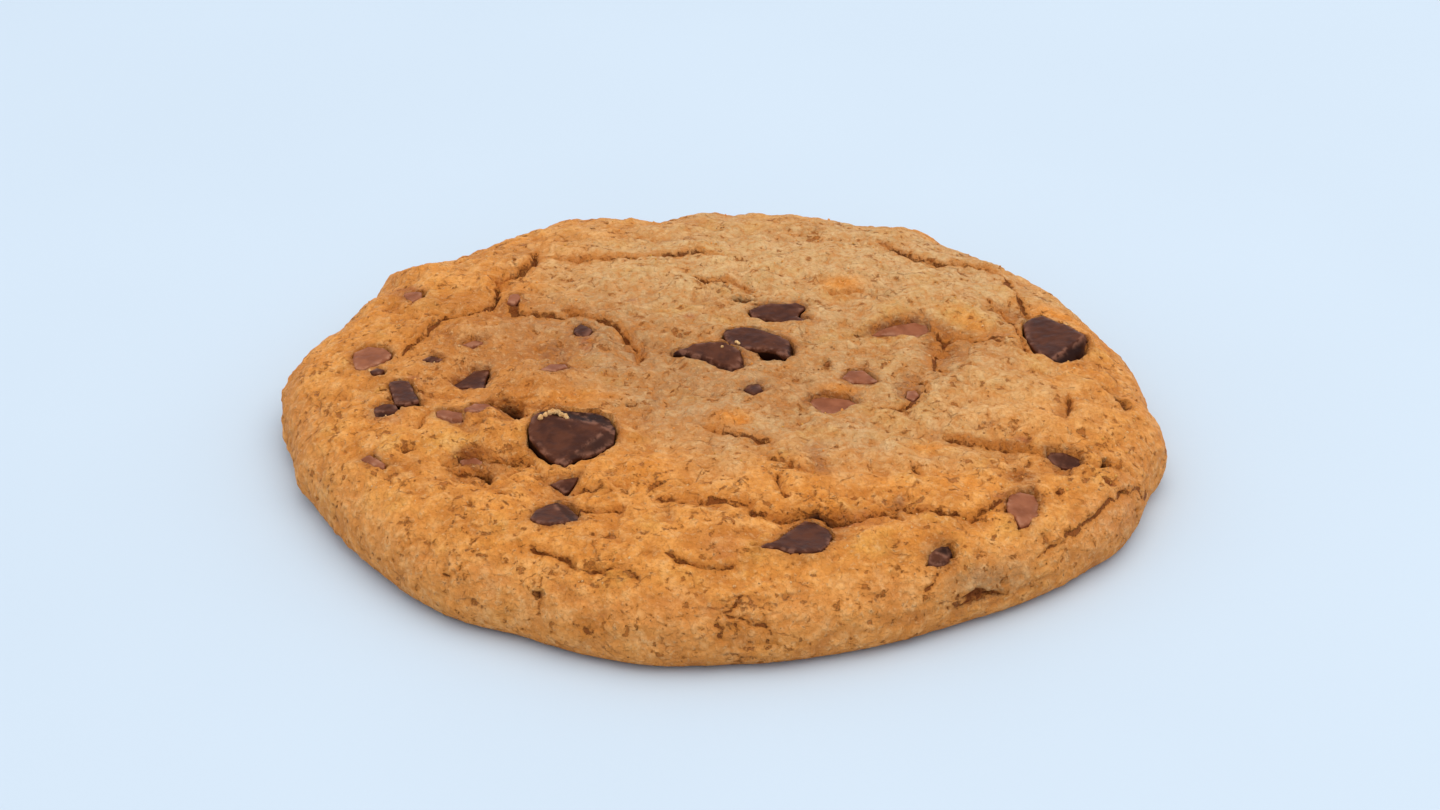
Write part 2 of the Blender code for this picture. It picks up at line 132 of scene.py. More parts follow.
LUMPS = rows(
    Lump,
    (0.5, 22, 13, 7, 0, 0.9), (23, 17, 10, 5, -30, 1.1), (29, -3, 9, 9, 0, 1.1),
    (-2, -33.5, 8, 4.5, 0, 1.1), (20.5, -34, 6.5, 3.5, 15, 1), (-7.5, -23, 3.5, 3, 0, 0.9),
    (6, -24, 8, 5, 0, 0.8), (-24, -13.5, 2.6, 3.2, 20, 1.3), (-20, -3.5, 4.5, 3.2, -10, 1.1),
    (-27.5, 8.5, 6, 3.5, 20, 0.8), (14, 19.5, 2.2, 1.8, 0, 0.9), (1.5, -12.3, 1.8, 1.8, 0, 0.8),
    (-12, -26.5, 2, 2, 0, 0.9), (38, -10, 4, 3, 30, 0.7), (-35, 22, 5, 6, -30, 0.9),
    (-26.5, -1.5, 4, 4, 0, -1.4), (-18.3, 3, 3, 3, 0, -1.1), (-22, -9.8, 1.8, 1.6, -40, -2.4),
    (-25, -20, 4, 2.4, -10, -1.6), (-16.5, -26, 2.6, 3, 0, -1.3), (24.5, 4, 2.6, 5, -10, -1.5),
    (20, 8, 4.5, 2, 15, -1.2), (29, -16.5, 5, 2, -15, -1.3), (36, -19.2, 2.4, 1.8, -10, -1.6),
    (31.5, -24, 1.6, 3.5, 5, -1), (9.5, -32, 4, 1.8, 0, -1.4), (20.5, -5, 2.2, 4.5, 0, -0.9),
    (12.5, -8.5, 3.4, 2.8, 0, -0.8), (33.5, 14.5, 3, 3, 0, -1), (-9, 3.5, 2, 3, 0, -0.8),
)

FOLDS = rows(
    Fold,
    (1.1, 1.2, -0.8, (
        (-20.8, 29.2), (-21, 27.6), (-21.3, 24.9), (-23.5, 22.5), (-25.2, 20.1), (-24.9, 16.5), (-26.6, 12.6),
    )),
    (0.8, 0.6, 0.4, (
        (-20.4, 27.4), (-18.3, 27.3), (-16.4, 26.5), (-12.8, 26.8), (-9.1, 27.2), (-2.7, 27.4), (0.9, 26.2),
    )),
    (0.9, 1, 0.5, (
        (-24, 15.5), (-22.6, 13.4), (-20.2, 11.6), (-17.5, 10.8), (-16.3, 11.8), (-14.5, 10.5), (-12.7, 9.6),
        (-11.1, 7.7), (-9.7, 5.3), (-8.8, 2.7),
    )),
    (0.8, 0.8, -0.5, ((-26.6, 12.6), (-28.2, 12.2), (-30.4, 12), (-32, 9.2), (-33.9, 5.6), (-35, 3.1))),
    (0.9, 0.7, 0.6, (
        (1.5, -27.8), (3.4, -29.1), (3.6, -30.3), (6.2, -31.4), (8.2, -31), (10.2, -31.8), (12.2, -30.9),
        (14.2, -30.8), (16.2, -30), (17.6, -29.6), (18.3, -28.4),
    )),
    (0.8, 0.9, 0.6, (
        (18.3, -28.4), (19.5, -29), (21.1, -28.7), (23, -29.3), (25.8, -29.8), (27.9, -28.2), (29.2, -26.8),
    )),
    (0.7, 0.5, 0.4, ((-6.5, -28), (-3, -28.3), (0.5, -27.8), (2.2, -28.6))),
    (0.8, 0.8, 0.6, (
        (18.6, 31.8), (20.2, 29.6), (21.7, 27.1), (24.9, 25.4), (29.3, 25.5), (31.5, 25.9), (33.3, 23.4),
    )),
    (1, 0.7, -0.5, ((33.3, 23.4), (34.2, 17.8), (35.4, 12.9))),
    (0.9, 0.9, -0.7, ((30.6, 17.4), (31.8, 14.6), (33.2, 10), (33.8, 6), (34.6, 3.4))),
    (1.3, 0.5, -0.9, (
        (46.4, -15.2), (43, -20.5), (40.6, -23.4), (38.8, -25.8), (36.5, -28.3), (34.3, -30.5), (32.4, -33.2),
    )),
    (0.8, 0.9, 0.5, ((41.4, -21.6), (43.6, -20.4), (46.2, -19.6))),
    (0.6, 0.7, -0.4, ((31, -34.2), (28.8, -35.5), (27.2, -36.4), (25.6, -37.3), (23.2, -38.6))),
    (0.7, 0.8, 0.2, ((22.1, -36.4), (21.8, -37.7), (20.7, -39), (20.6, -40))),
    (0.9, 0.9, 0.1, ((3, -42.6), (1.4, -43.8), (0.2, -44.2))),
    (0.9, 0.9, 0.1, ((0.2, -44.2), (1.8, -44.5), (3.7, -44.5), (5.3, -44.6), (6.5, -44.5))),
    (0.8, 0.8, 0.4, ((-1.7, -13.8), (0.3, -15.2), (2.8, -16.2), (5.5, -16.6))),
    (0.9, 0.8, 0.4, ((23.7, -14.9), (26.6, -16.6), (29.5, -16.9), (32.4, -17.6), (34.8, -18.7))),
    (0.8, 0.7, 0.3, ((20.7, -3.7), (22.2, -4.6), (22.1, -6.7), (20.7, -8.8), (18.9, -9.9), (16.9, -10))),
    (1.1, 0.6, 0.3, ((24.4, -2.4), (23.5, 0.3), (24.8, 4.8), (27, 6.1), (30.1, 6.4), (32.7, 6.1))),
    (0.8, 0.9, 0.2, ((-2.9, 21.1), (-0.8, 19.7), (1.4, 20.4), (3, 18.5), (4.1, 16.6))),
    (0.8, 0.9, 0.4, ((-19, -35.2), (-17.3, -36.2), (-15.9, -37), (-14.7, -38), (-14, -39.1))),
    (0.8, 0.7, 0.2, ((-13.5, -38.7), (-11.9, -39.3), (-10.4, -38.9), (-8.9, -39.5), (-7.7, -40.4))),
    (0.9, 0.8, 0.6, ((-5.3, -37.7), (-3.3, -38.6), (-1.2, -39.3), (0.4, -39.5), (2, -38.6))),
    (0.8, 0.8, 0.3, ((-15.1, -27), (-13.9, -25.8), (-11.8, -24.6))),
    (0.8, 0.8, 0.3, ((-14.3, -29.5), (-12.7, -30), (-11.1, -30.1), (-9, -29.4))),
    (0.9, 1.1, 0.5, ((-29, -19.7), (-27.5, -20.5), (-26.2, -19.3), (-24.4, -19.1), (-22.6, -19.9))),
    (0.9, 1, 0.4, ((-27.5, -21.5), (-26, -22.3), (-24.4, -22), (-23.4, -24.1))),
    (0.7, 0.7, 0.3, ((-22.6, -19.9), (-20.9, -19), (-19.2, -20.4))),
    (0.7, 0.6, 0.2, ((-32.5, -31), (-31.1, -30.8), (-29.7, -31.2))),
    (0.7, 0.7, 0.2, ((-28.1, -35.5), (-27.1, -36.2), (-25.2, -35.3))),
    (0.6, 0.6, 0.2, ((-14.7, -42.7), (-13.4, -43.3), (-11.8, -43.9), (-11, -44.2))),
    (0.6, 0.6, 0.2, ((-0.2, -45), (0.6, -45.2), (2.1, -44.9))),
    (0.9, 0.9, 0.3, ((38, -19.4), (41, -17.8), (44.4, -16.8))),
    (0.8, 0.7, 0.2, ((5, -20), (8, -21.6), (10, -23.4))),
    (0.8, 0.6, 0.1, ((20, -20.5), (20.6, -22), (21.5, -23.5))),
    (0.8, 0.6, 0.1, ((6, -23), (6.2, -24.8), (6.5, -26.5))),
    (0.8, 0.6, 0, ((12.4, 17.6), (14.6, 17.2), (16.4, 18))),
    (0.8, 0.7, 0.1, ((38, -5), (37.8, -7), (37.5, -9))),
    (0.9, 0.6, 0.2, ((23, 8), (24.5, 5))),
    (0.7, 0.6, 0.1, ((-30.5, -9), (-31.4, -11.2), (-31.6, -13.4))),
    (0.7, 0.6, 0, ((-9.5, 3.2), (-8.5, 1.2), (-8.9, -0.6))),
)

# Small holes, which get painted shade inside: place, half lengths, turn and depth
HOLES = rows(
    Hole,
    (40.8, -17.7, 0.6, 0.5, 0, 1.5), (44, -5.3, 0.7, 1.3, 10, 1.5), (42.3, -3.3, 0.6, 0.5, 0, 1),
    (35.5, -24, 0.6, 0.5, 0, 0.8), (40.9, -20.4, 0.7, 0.5, 0, 0.4), (-18, -40, 0.5, 0.4, 0, 0.8),
    (-32.5, -17, 0.7, 0.4, 10, 1), (-22.1, -26.6, 0.8, 0.6, 0, 1), (-21.9, -10.1, 2.7, 1, -60, 2.2),
    (6.3, 0.9, 1.6, 1.2, 0, 1.9), (3, 14.8, 1.4, 0.6, -20, 1.4), (8, -31.5, 2, 0.6, 0, 1.5),
    (12.4, -31.6, 1.8, 0.5, 18, 1), (36, -18.8, 2, 1.3, -8, 1.3), (22.2, -35.4, 1.3, 0.8, 55, 1.1),
    (4.2, -36.2, 0.5, 0.4, 0, 0.9), (-36, -4.7, 0.5, 0.5, 0, 0.8), (-35.4, -6.4, 0.5, 0.5, 0, 0.8),
    (-31.9, -5.2, 0.5, 0.4, 0, 0.6), (11.9, -0.8, 0.6, 1, 0, 0.7), (6.9, -26.6, 0.7, 0.5, -30, 0.8),
    (-21.5, -20, 0.9, 0.6, -40, 0.9), (15.6, 7.2, 0.5, 0.5, 0, 0.7), (18.1, -30.4, 0.6, 0.6, 0, 1),
    (-9.4, -9.3, 0.8, 0.5, 0, 0.6), (-24.2, -22.8, 1.1, 0.5, -50, 1.2), (26.8, -36.6, 2.6, 0.26, 30, 0.6),
    (-26.2, -18.9, 1.9, 0.4, -6, 1), (9.8, -31.2, 2.6, 0.5, 4, 1.2),
)

# Where the dough is torn and crumbly
TORN = rows(
    Torn,
    (-23, 23, 2.4, 5.5, 30), (-24, -12.5, 4, 2.4, 0), (-20, -22.5, 5, 2.6, -10), (7, -22.5, 3.5, 3.5, 0),
    (13, -28, 8, 1.6, 0), (-8, -26.5, 6, 2, 0), (21.5, -7, 3.5, 3.5, 0), (-12, -39, 4.5, 2, -5),
    (-25, -34.5, 3.5, 2, 0), (2.5, -43.5, 5, 2, 0), (38.5, -19.5, 4, 3, 0), (2, 16.5, 5, 2.5, -20),
    (-33, 10, 3, 4, -30),
)

# Outlines of the chocolate that shows, finer than the solids'
OUTLINES = {
    "chunk_large": (
        (-19.9, -14), (-19.6, -11.6), (-18.7, -10.5), (-16.3, -10.1), (-12.9, -10.8), (-11.4, -12.1),
        (-10.7, -14.5), (-10.9, -17.2), (-12.7, -19.1), (-14.7, -20.2), (-15.8, -21.6), (-17.3, -20.4),
        (-18.7, -18), (-19.7, -16),
    ),
    "chunk_right": (
        (34, 10.3), (34.1, 8), (34.2, 6), (34.9, 3.7), (36.6, 1.9), (37.5, 1.2), (38.3, 2.3), (39.5, 4.1),
        (40.7, 6.2), (41.2, 8.2), (41.3, 10), (39.1, 11.4), (36.5, 12.8), (35.1, 11.9),
    ),
    "chunk_middle": (
        (0.6, 6), (1, 4), (1.7, 2.9), (3.6, 2.3), (5.3, 2.2), (6.4, 1.9), (7.2, 0.6), (8, 1.3), (8.3, 3.2),
        (7.8, 4.5), (6.7, 5.6), (5.2, 6.6), (3.8, 7.4), (2.1, 7.4), (0.9, 6.9),
    ),
    "chunk_middle_left": (
        (-4.9, 2.1), (-3.3, 1.1), (-2.2, 0.3), (-0.4, -1.1), (0.7, -2), (1.6, -2.5), (2.4, -2), (2.9, -0.7),
        (2.8, 0.6), (2.4, 2.1), (1.5, 3.2), (0.7, 3.9), (-0.9, 4), (-2.7, 3.5), (-3.3, 2.6),
    ),
    "chunk_back": (
        (3.5, 11.8), (3.8, 10.1), (5.6, 9.2), (7, 8.6), (8.1, 8.6), (9.4, 8.3), (10, 9.2), (8.9, 10.2),
        (9.2, 11.6), (9.9, 12.7), (8.8, 13.6), (7.5, 13.2), (5.9, 13.5), (4.8, 12.9),
    ),
    "chunk_front": (
        (4.2, -36.4), (6, -35.3), (6.8, -34.2), (7.8, -33), (8.8, -32), (9.8, -32.2), (11.1, -33.4),
        (11.5, -34.6), (11.1, -35.8), (10.1, -36.8), (8.5, -37.1), (7.1, -36.9), (5.9, -36.6),
    ),
    "chunk_left_hollow": (
        (-28.5, -4.7), (-28, -3.9), (-26.9, -2.6), (-26.4, -1.7), (-24.7, -1.4), (-24.9, -3), (-25.1, -5.7),
        (-26.2, -5.7), (-27, -5.3), (-28.2, -5.3),
    ),
    "bar_left": (
        (-35.5, -3.4), (-34.9, -6), (-34.4, -7.9), (-33.3, -8.1), (-31.9, -7.5), (-33.3, -3.3), (-34.1, -2.9),
        (-35.2, -2.9),
    ),
    "chunk_front_left": (
        (-18.9, -31.1), (-18.4, -29.7), (-16.2, -28.2), (-15.2, -28.6), (-14.3, -30), (-13.9, -30.8),
        (-14.2, -31.7), (-15.7, -32.1), (-17.4, -32.2), (-18.5, -31.6),
    ),
    "chunk_milk_front": (
        (29.4, -27.8), (29.5, -28.7), (30.2, -29.1), (30.7, -30.2), (31.6, -29.6), (32.7, -28.2),
        (32.9, -26.7), (32.4, -25.6), (30.9, -25.4), (29.8, -26.2),
    ),
    "chunk_milk_middle": (
        (9.7, -9.7), (10.7, -11.1), (11.3, -11.8), (12.3, -12.1), (13.1, -11.5), (14.6, -10.5), (14.9, -9.5),
        (14, -8.7), (12.7, -8.3), (11.2, -8.2), (10.1, -8.6),
    ),
    "slab_left_edge": (
        (-40, 4), (-40, 2), (-39.4, 0.2), (-38.7, -0.1), (-37.2, 0.9), (-36, 2), (-35.7, 3.1), (-36.7, 4.7),
        (-38.5, 5.2),
    ),
    "nugget_left": (
        (-36.8, -9.5), (-36.2, -10.3), (-34.5, -10), (-33.9, -9.2), (-34.4, -8.1), (-35.6, -7.8),
        (-36.6, -8.4),
    ),
    "nugget_hollow": (
        (-17.2, -25.3), (-16.2, -26), (-15.5, -27), (-15, -26.3), (-14.5, -24.8), (-14.2, -23.9),
        (-16.2, -24.4),
    ),
    "nugget_upper_left": (
        (-15.2, 8.6), (-15.9, 7.6), (-15.9, 6.4), (-15, 5.5), (-14.3, 5.7), (-13.8, 6.9), (-14.4, 8),
    ),
    "nugget_back_right": (
        (16.9, 5.9), (18.2, 7.6), (20.1, 8.8), (21.9, 9.5), (23.2, 8.8), (23.5, 6.9), (22.2, 5.6),
        (20.7, 5.6), (19.2, 6.2),
    ),
    "nugget_front_pit": (
        (21, -36.7), (21.9, -36.4), (23, -36.1), (23.6, -34.9), (23.2, -33.9), (22.3, -33.9), (21.6, -34.8),
        (21.1, -35.8),
    ),
    "nugget_pit": (
        (34.2, -19), (35.1, -20.6), (36.7, -20.8), (37.8, -19.8), (37.9, -18.7), (36, -17.8), (34.8, -17.9),
    ),
    "nugget_valley": (
        (-26.8, -20), (-26.4, -21.2), (-24.8, -21.5), (-24, -20.7), (-25.2, -19.5),
    ),
    "nugget_milk_left": (
        (-29.9, -9.9), (-29.9, -11.2), (-28.8, -12), (-27.2, -12.6), (-26.8, -11.6), (-26.9, -10.5),
        (-29.3, -9.6),
    ),
    "nugget_milk_ridge": (
        (-27, -9.7), (-26, -10.4), (-24.3, -10.3), (-23.4, -9.9), (-24.4, -8.9), (-25.9, -8.6),
    ),
    "nugget_milk_right": (
        (13.4, -4), (14.2, -4.8), (15.3, -5), (16.2, -5.1), (17.3, -4.5), (16.7, -3.6), (15.8, -2.2),
        (14.2, -2.4),
    ),
    "nugget_back_left": (
        (-35.8, 18.8), (-35.3, 17), (-34.4, 15.9), (-33.5, 16.8), (-33.6, 18.4), (-34.6, 18.9),
    ),
}

# Where a chocolate top breaks: right of this line, walking along it, the top falls away at this slope
# and takes this share of painted shade
FACETS = rows(
    Facet,
    ("chunk_large", (-10.6, -16), (-12.6, -13.7), 0.20, 1),
    ("chunk_large", (-12.6, -13.7), (-16.6, -12.3), 0.20, 1),
    ("chunk_large", (-16.6, -21.4), (-12, -15.6), 0.25, 0.5),
    ("chunk_right", (36.5, 1.9), (38.7, 5.3), 1.5, 1),
    ("chunk_right", (38.7, 5.3), (40.9, 9.6), 1.5, 1),
    ("chunk_middle", (7.5, 1), (7.9, 4.4), 1, 0.9),
    ("chunk_middle_left", (-3.9, 1.9), (1.8, -2), 1.4, 0.9),
    ("chunk_middle_left", (2.2, -2.2), (2.4, 0.6), 0.9, 0.8),
    ("chunk_front_left", (-15.3, -31.4), (-16.8, -28.4), 0.3, 0.7),
    ("nugget_milk_left", (-29.4, -11.2), (-27.1, -12), 0.9, 0.7),
    ("nugget_left", (-36.6, -9.3), (-34.2, -9.6), 0.8, 0.7),
    ("nugget_front_pit", (24, -35.6), (20.4, -34.8), 0.2, 1),
)

MILK_NODES = (
    "chunk_milk_front", "chunk_milk_middle", "slab_left_edge", "nugget_back_right", "nugget_valley",
    "nugget_milk_left", "nugget_milk_ridge", "nugget_milk_right", "nugget_back_left",
)

# Chips that the solids hold as one with the dough
CHIPS = rows(
    Chip,
    ("dark", ((-37.9, -0.6), (-37.4, -1.3), (-36.5, -1.1), (-36.2, -0.3), (-37.1, 0.1))),
    ("dark", ((-32.3, 1.4), (-31.3, 0.8), (-29.9, 1.2), (-30.6, 1.8), (-31.3, 2.3))),
    ("dark", ((2.8, -6.9), (3.8, -7.9), (4.9, -7), (4.5, -5.5), (3.4, -5.4))),
    ("milk", ((-28.2, 4.6), (-27.2, 3.9), (-25.8, 4.3), (-25.7, 5), (-26.7, 5.4))),
    ("milk", ((-19.2, -1.7), (-17.6, -2.2), (-16.2, -1.4), (-16.5, -0.7), (-18.1, -0.6))),
    ("milk", ((-23.7, 14.6), (-22.8, 14.2), (-22.2, 15.6), (-22.5, 16.6), (-23.5, 16.4))),
    ("milk", ((20.1, -7.9), (20.9, -8.4), (21.6, -7.3), (21.2, -6.2), (20.3, -6.4))),
    ("milk", ((-37.4, -17.4), (-36, -18.9), (-34.7, -20), (-34.5, -19.3), (-36.4, -17))),
)
CHIP_PROUD = -0.05
CHIP_DEPTH = 1.6
CHUNK_DEPTH = 4.0
SLOPE_REACH = 2.5
STEEPEST = 0.5
SUNK = 0.25
SUNK_LARGEST = 0.8
SETTLING_ROUNDS = 4
MILK_PROUD = -0.15
NUGGET_PROUD = -0.1
DEEP_LYING = {"nugget_pit": -0.8, "nugget_front_pit": -0.7, "nugget_valley": -0.9}
FLUSH_CHUNKS = ("chunk_left_hollow", "chunk_front", "chunk_front_left")


def linear(red, green, blue):
    """A colour in linear light from its values on a screen, 0 to 255."""
    share = np.array([red, green, blue]) / 255
    return np.where(share < 0.04045, share / 12.92, ((share + 0.055) / 1.055) ** 2.4)


CREAM = linear(238, 196, 140)
PALE = linear(224, 180, 128)
TAN = linear(218, 166, 104)
GOLDEN = linear(252, 171, 86)
ORANGE = linear(242, 150, 56)
BROWN = linear(160, 86, 30)
# DEEP and DARKEST paint the shade in cracks, pits, holes, slits and crevices, and GREYED paints the shade
# over the seam at the front right
DEEP = linear(116, 52, 14)
DARKEST = linear(48, 20, 8)
GREYED = linear(146, 118, 88)
RUST = linear(206, 124, 48)
REDDISH = linear(176, 98, 62)
YELLOW = linear(232, 172, 84)
LIGHT = linear(248, 200, 138)
# Brown for stained patches and for painted shade in hollows and valleys
STAIN_AND_SHADE = linear(160, 102, 66)
HALO = linear(142, 80, 44)
UNDERSIDE = linear(184, 120, 62)
CLAY = linear(228, 154, 92)

# Chocolate: its body, its lighter clouds, the painted shade of its sides and facets, and its bloom, which
# also paints the highlight on its rims and ridges
DARK_COLOURS = (linear(66, 29, 12), linear(90, 46, 25), linear(28, 9, 4), linear(156, 104, 80))
MILK_COLOURS = (linear(134, 74, 44), linear(156, 92, 60), linear(92, 44, 22), linear(192, 136, 104))

# Patches of colour on the top: broad baked tones, reddish and brown marks, and painted shade, which is the
# DARKEST marks in the named holes and the slit behind chunk_front, the DEEP marks in slits and hollows, and
# the GREYED mark over the seam at the front right
PATCHES = rows(
    Patch,
    (2, 25, 26, 9, 0, CREAM, 0.55),
    (30, 20, 12, 9, -30, CREAM, 0.35),
    (26, -9, 12, 8, 0, CREAM, 0.3),
    (-3, -4, 18, 13, 0, STAIN_AND_SHADE, 0.36),
    (-21, 7, 12, 8, 0, STAIN_AND_SHADE, 0.46),
    (-29, -2, 11, 10, 0, STAIN_AND_SHADE, 0.2),
    (-30.5, 15, 5.5, 3.5, 0, BROWN, 0.36),
    (42.5, -23, 8, 2.2, 55, CLAY, 0.7),
    (24.4, 2.4, 2, 5.2, -8, BROWN, 0.45),
    (28, -16.4, 4.6, 0.9, -6, BROWN, 0.5),
    (13.8, -30.4, 3.4, 0.8, 10, BROWN, 0.6),
    (32.5, -16, 0.8, 0.6, 0, DEEP, 0.8),
    (31.4, -22.4, 1.8, 1.2, 10, BROWN, 0.6),
    (19.4, 8.4, 2.6, 1, 25, BROWN, 0.6),
    (14, 19.8, 2.6, 1.9, 0, ORANGE, 0.8),
    (1.5, -12.5, 2, 1.8, 0, ORANGE, 0.95),
    (22, -17.8, 2.3, 1.1, 0, ORANGE, 0.7),
    (27.5, 11, 3.2, 4, 30, YELLOW, 0.6),
    (28.4, 10, 1.6, 3.4, 30, ORANGE, 0.6),
    (-7, -22.5, 3.6, 3.2, 0, ORANGE, 0.55),
    (12.5, -25.5, 5, 3.2, 0, ORANGE, 0.35),
    (-28, -16, 3.2, 2.2, 0, YELLOW, 0.5),
    (38.5, 14.8, 4.2, 2, -20, ORANGE, 0.9),
    (34.6, 13.2, 1.6, 1.4, 0, BROWN, 0.8),
    (32, 14, 1.8, 1.6, 0, BROWN, 0.5),
    (24.6, 3.4, 1.8, 5, -8, BROWN, 0.55),
    (19, 8.6, 3, 0.9, 35, DEEP, 0.75),
    (24, 8, 1.4, 1.6, 0, BROWN, 0.5),
    (31, 6.6, 1.8, 1.1, 0, REDDISH, 0.6),
    (0.5, -36.5, 2.2, 2.4, 0, REDDISH, 0.45),
    (31.8, -22.8, 1.4, 2.6, 5, BROWN, 0.75),
    (28.6, -27, 1.2, 0.7, 40, REDDISH, 0.7),
    (12.2, -7.6, 2.7, 0.7, 0, BROWN, 0.8),
    (13, -6.5, 2.8, 0.9, 0, ORANGE, 0.7),
    (15.9, -1.1, 1.2, 1.1, 0, BROWN, 0.7),
    (10.5, -20.5, 1, 3.6, 10, STAIN_AND_SHADE, 0.6),
    (20.6, -5.6, 1.4, 3.4, -4, STAIN_AND_SHADE, 0.65),
    (18.5, -28.4, 0.8, 1.4, 0, STAIN_AND_SHADE, 0.8),
    (-13, -31.8, 3, 1, 5, BROWN, 0.3),
    (13.6, -31.6, 2.4, 1.2, 8, REDDISH, 0.8),
    (12.4, -33.6, 1.2, 1.6, 10, BROWN, 0.6),
    (-5.8, 31, 1, 0.8, 0, BROWN, 0.6),
    (-3.5, 31.5, 0.9, 0.8, 0, BROWN, 0.5),
    (-3.2, 10.1, 0.7, 0.6, 0, REDDISH, 0.8),
    (-9.8, 14, 0.7, 0.6, 0, REDDISH, 0.6),
    (-27, -13, 1.6, 0.8, 0, BROWN, 0.5),
    (-21.5, -20, 1.4, 0.8, 0, BROWN, 0.6),
    (-24, -21, 1.4, 2, 20, STAIN_AND_SHADE, 0.35),
    (-17.8, 2.2, 2, 2.4, 0, STAIN_AND_SHADE, 0.55),
    (-14.4, 4.2, 0.7, 1.6, 0, REDDISH, 0.8),
    (-16, 11.8, 1.3, 1, -30, BROWN, 0.7),
    (-25, 20, 2.6, 5, 20, ORANGE, 0.4),
    (30.5, -16.8, 2.6, 1.4, -12, BROWN, 0.6),
    (36, -19, 2.4, 1.8, -10, BROWN, 0.7),
    (-14.5, -7.8, 4, 1.6, 0, ORANGE, 0.5),
    (-18.6, -9.7, 2, 0.8, 0, DEEP, 0.6),
    (11.3, 9.2, 1.2, 0.9, 0, BROWN, 0.5),
    (-35.2, 19.4, 1.6, 2.2, 30, REDDISH, 0.7),
    (-34.8, -10.8, 1.8, 0.8, 0, REDDISH, 0.5),
    (-33, -2.4, 0.8, 0.5, 20, REDDISH, 0.7),
    (-1.3, 7.8, 0.5, 0.5, 0, BROWN, 0.5),
    (6.7, 6.6, 0.5, 0.5, 0, BROWN, 0.6),
    (-9, 2.4, 1.2, 1.2, 0, BROWN, 0.4),
    (-21.8, -10, 2.4, 0.9, -60, DARKEST, 0.95),
    (-25.6, -19.5, 2.4, 0.5, -8, DEEP, 0.85),
    (-24.3, -22.3, 1.1, 0.5, -40, DARKEST, 0.9),
    (8.2, -31.5, 2.2, 0.5, 0, DARKEST, 0.95),
    (12.6, -31.5, 2, 0.4, 14, DEEP, 0.8),
    (22.2, -35, 1.3, 1.1, 40, DARKEST, 0.9),
    (32.2, -15.2, 1, 0.8, 0, REDDISH, 0.8),
    (26.3, 6, 3.4, 2.2, 15, BROWN, 0.6),
    (9.6, -9.6, 0.9, 0.8, 0, BROWN, 0.8),
    (36, -18, 2, 0.6, -8, DARKEST, 0.9),
    (44, -5.3, 0.5, 0.9, 10, DARKEST, 0.9),
    (42.3, -3.3, 0.5, 0.4, 0, DARKEST, 0.8),
    (40.8, -17.6, 0.6, 0.5, 0, DARKEST, 0.9),
    (-26.4, -18.8, 1.6, 0.35, 8, DEEP, 0.85),
    (-23.6, -22.8, 0.35, 1.2, 25, DARKEST, 0.85),
    (15.2, -30.4, 2.6, 0.5, 6, REDDISH, 0.7),
    (6.3, 0.9, 1.7, 0.9, -10, DARKEST, 0.95),
    (3, 14.6, 1.5, 0.5, -20, DARKEST, 0.8),
    (27, -36, 5, 1.4, 25, GREYED, 0.6),
)


def gradients(seed, cells=32):
    """A block of random directions for the noise."""
    made = np.random.default_rng(seed).normal(size=(cells, cells, cells, 3))
    return made / np.linalg.norm(made, axis=3)[..., None]


GRADIENTS = gradients(SEED)


def grain(points, size, seed):
    """Smooth noise, mostly from -1 to 1, whose features are about this size."""
    cells = points / size + np.array([17.3, 5.1, 11.7]) * seed
    low = np.floor(cells).astype(int)
    part = cells - low
    ease = part**3 * (part * (part * 6 - 15) + 10)
    total = np.zeros(len(points))
    for corner in np.ndindex(2, 2, 2):
        index = (low + corner) % len(GRADIENTS)
        pull = (GRADIENTS[index[:, 0], index[:, 1], index[:, 2]] * (part - corner)).sum(axis=1)
        weight = np.where(corner, ease, 1 - ease).prod(axis=1)
        total += weight * pull
    return total * 1.7


def layered(points, size, seed, layers=3):
    """Noise with finer and fainter layers added."""
    total = np.zeros(len(points))
    for layer in range(layers):
        total += grain(points, size / 2**layer, seed + layer) / 2**layer
    return total


def edge_distance(points, size, seed):
    """How far each point is from the border between two cells of a random pattern."""
    cells = points / size
    low = np.floor(cells).astype(int)
    first = np.full(len(points), np.inf)
    second = np.full(len(points), np.inf)
    jitter = (gradients(seed) + 1) / 2
    for step in np.ndindex(3, 3, 3):
        cell = low + np.array(step) - 1
        index = cell % len(jitter)
        seeds = cell + jitter[index[:, 0], index[:, 1], index[:, 2]]
        away = np.linalg.norm(cells - seeds, axis=1)
        second = np.where(away < first, first, np.minimum(second, away))
        first = np.minimum(first, away)
    return (second - first) * size / 2


def smooth_step(value, start, end):
    share = np.clip((value - start) / (end - start), 0, 1)
    return share * share * (3 - 2 * share)


def bell(value, width):
    """1 where the value is 0, and nearly 0 at twice this width."""
    return np.exp(-((value / width) ** 2))


def outline_radius(theta):
    """The outline's distance from the plan's middle at these angles, in radians."""
    radius = 1 / np.hypot(np.cos(theta) / HALF_WIDTH, np.sin(theta) / HALF_DEPTH)
    for bulge in BULGES:
        away = (np.degrees(theta) - bulge.angle + 180) % 360 - 180
        radius = radius + bulge.amount * bell(away, bulge.spread)
    return radius


def outline_middle():
    """The middle of the outline's box, which is the frame's origin."""
    theta = np.radians(np.arange(0, 360, 0.5))
    radius = outline_radius(theta)
    x = radius * np.cos(theta)
    y = radius * np.sin(theta)
    return np.array([(x.max() + x.min()) / 2, (y.max() + y.min()) / 2, 0])


MIDDLE = outline_middle()


def shoulder_height(inside, radius):
    up = np.clip(inside / SHOULDER, 0, 1)
    shoulder = (1 - (1 - up) ** ROUNDNESS) ** (1 / ROUNDNESS)
    dome = (MIDDLE_HEIGHT - RIM_HEIGHT) * (1 - (1 - inside / radius) ** 2)
    return WIDEST_LINE + (RIM_HEIGHT - WIDEST_LINE + dome) * shoulder, up


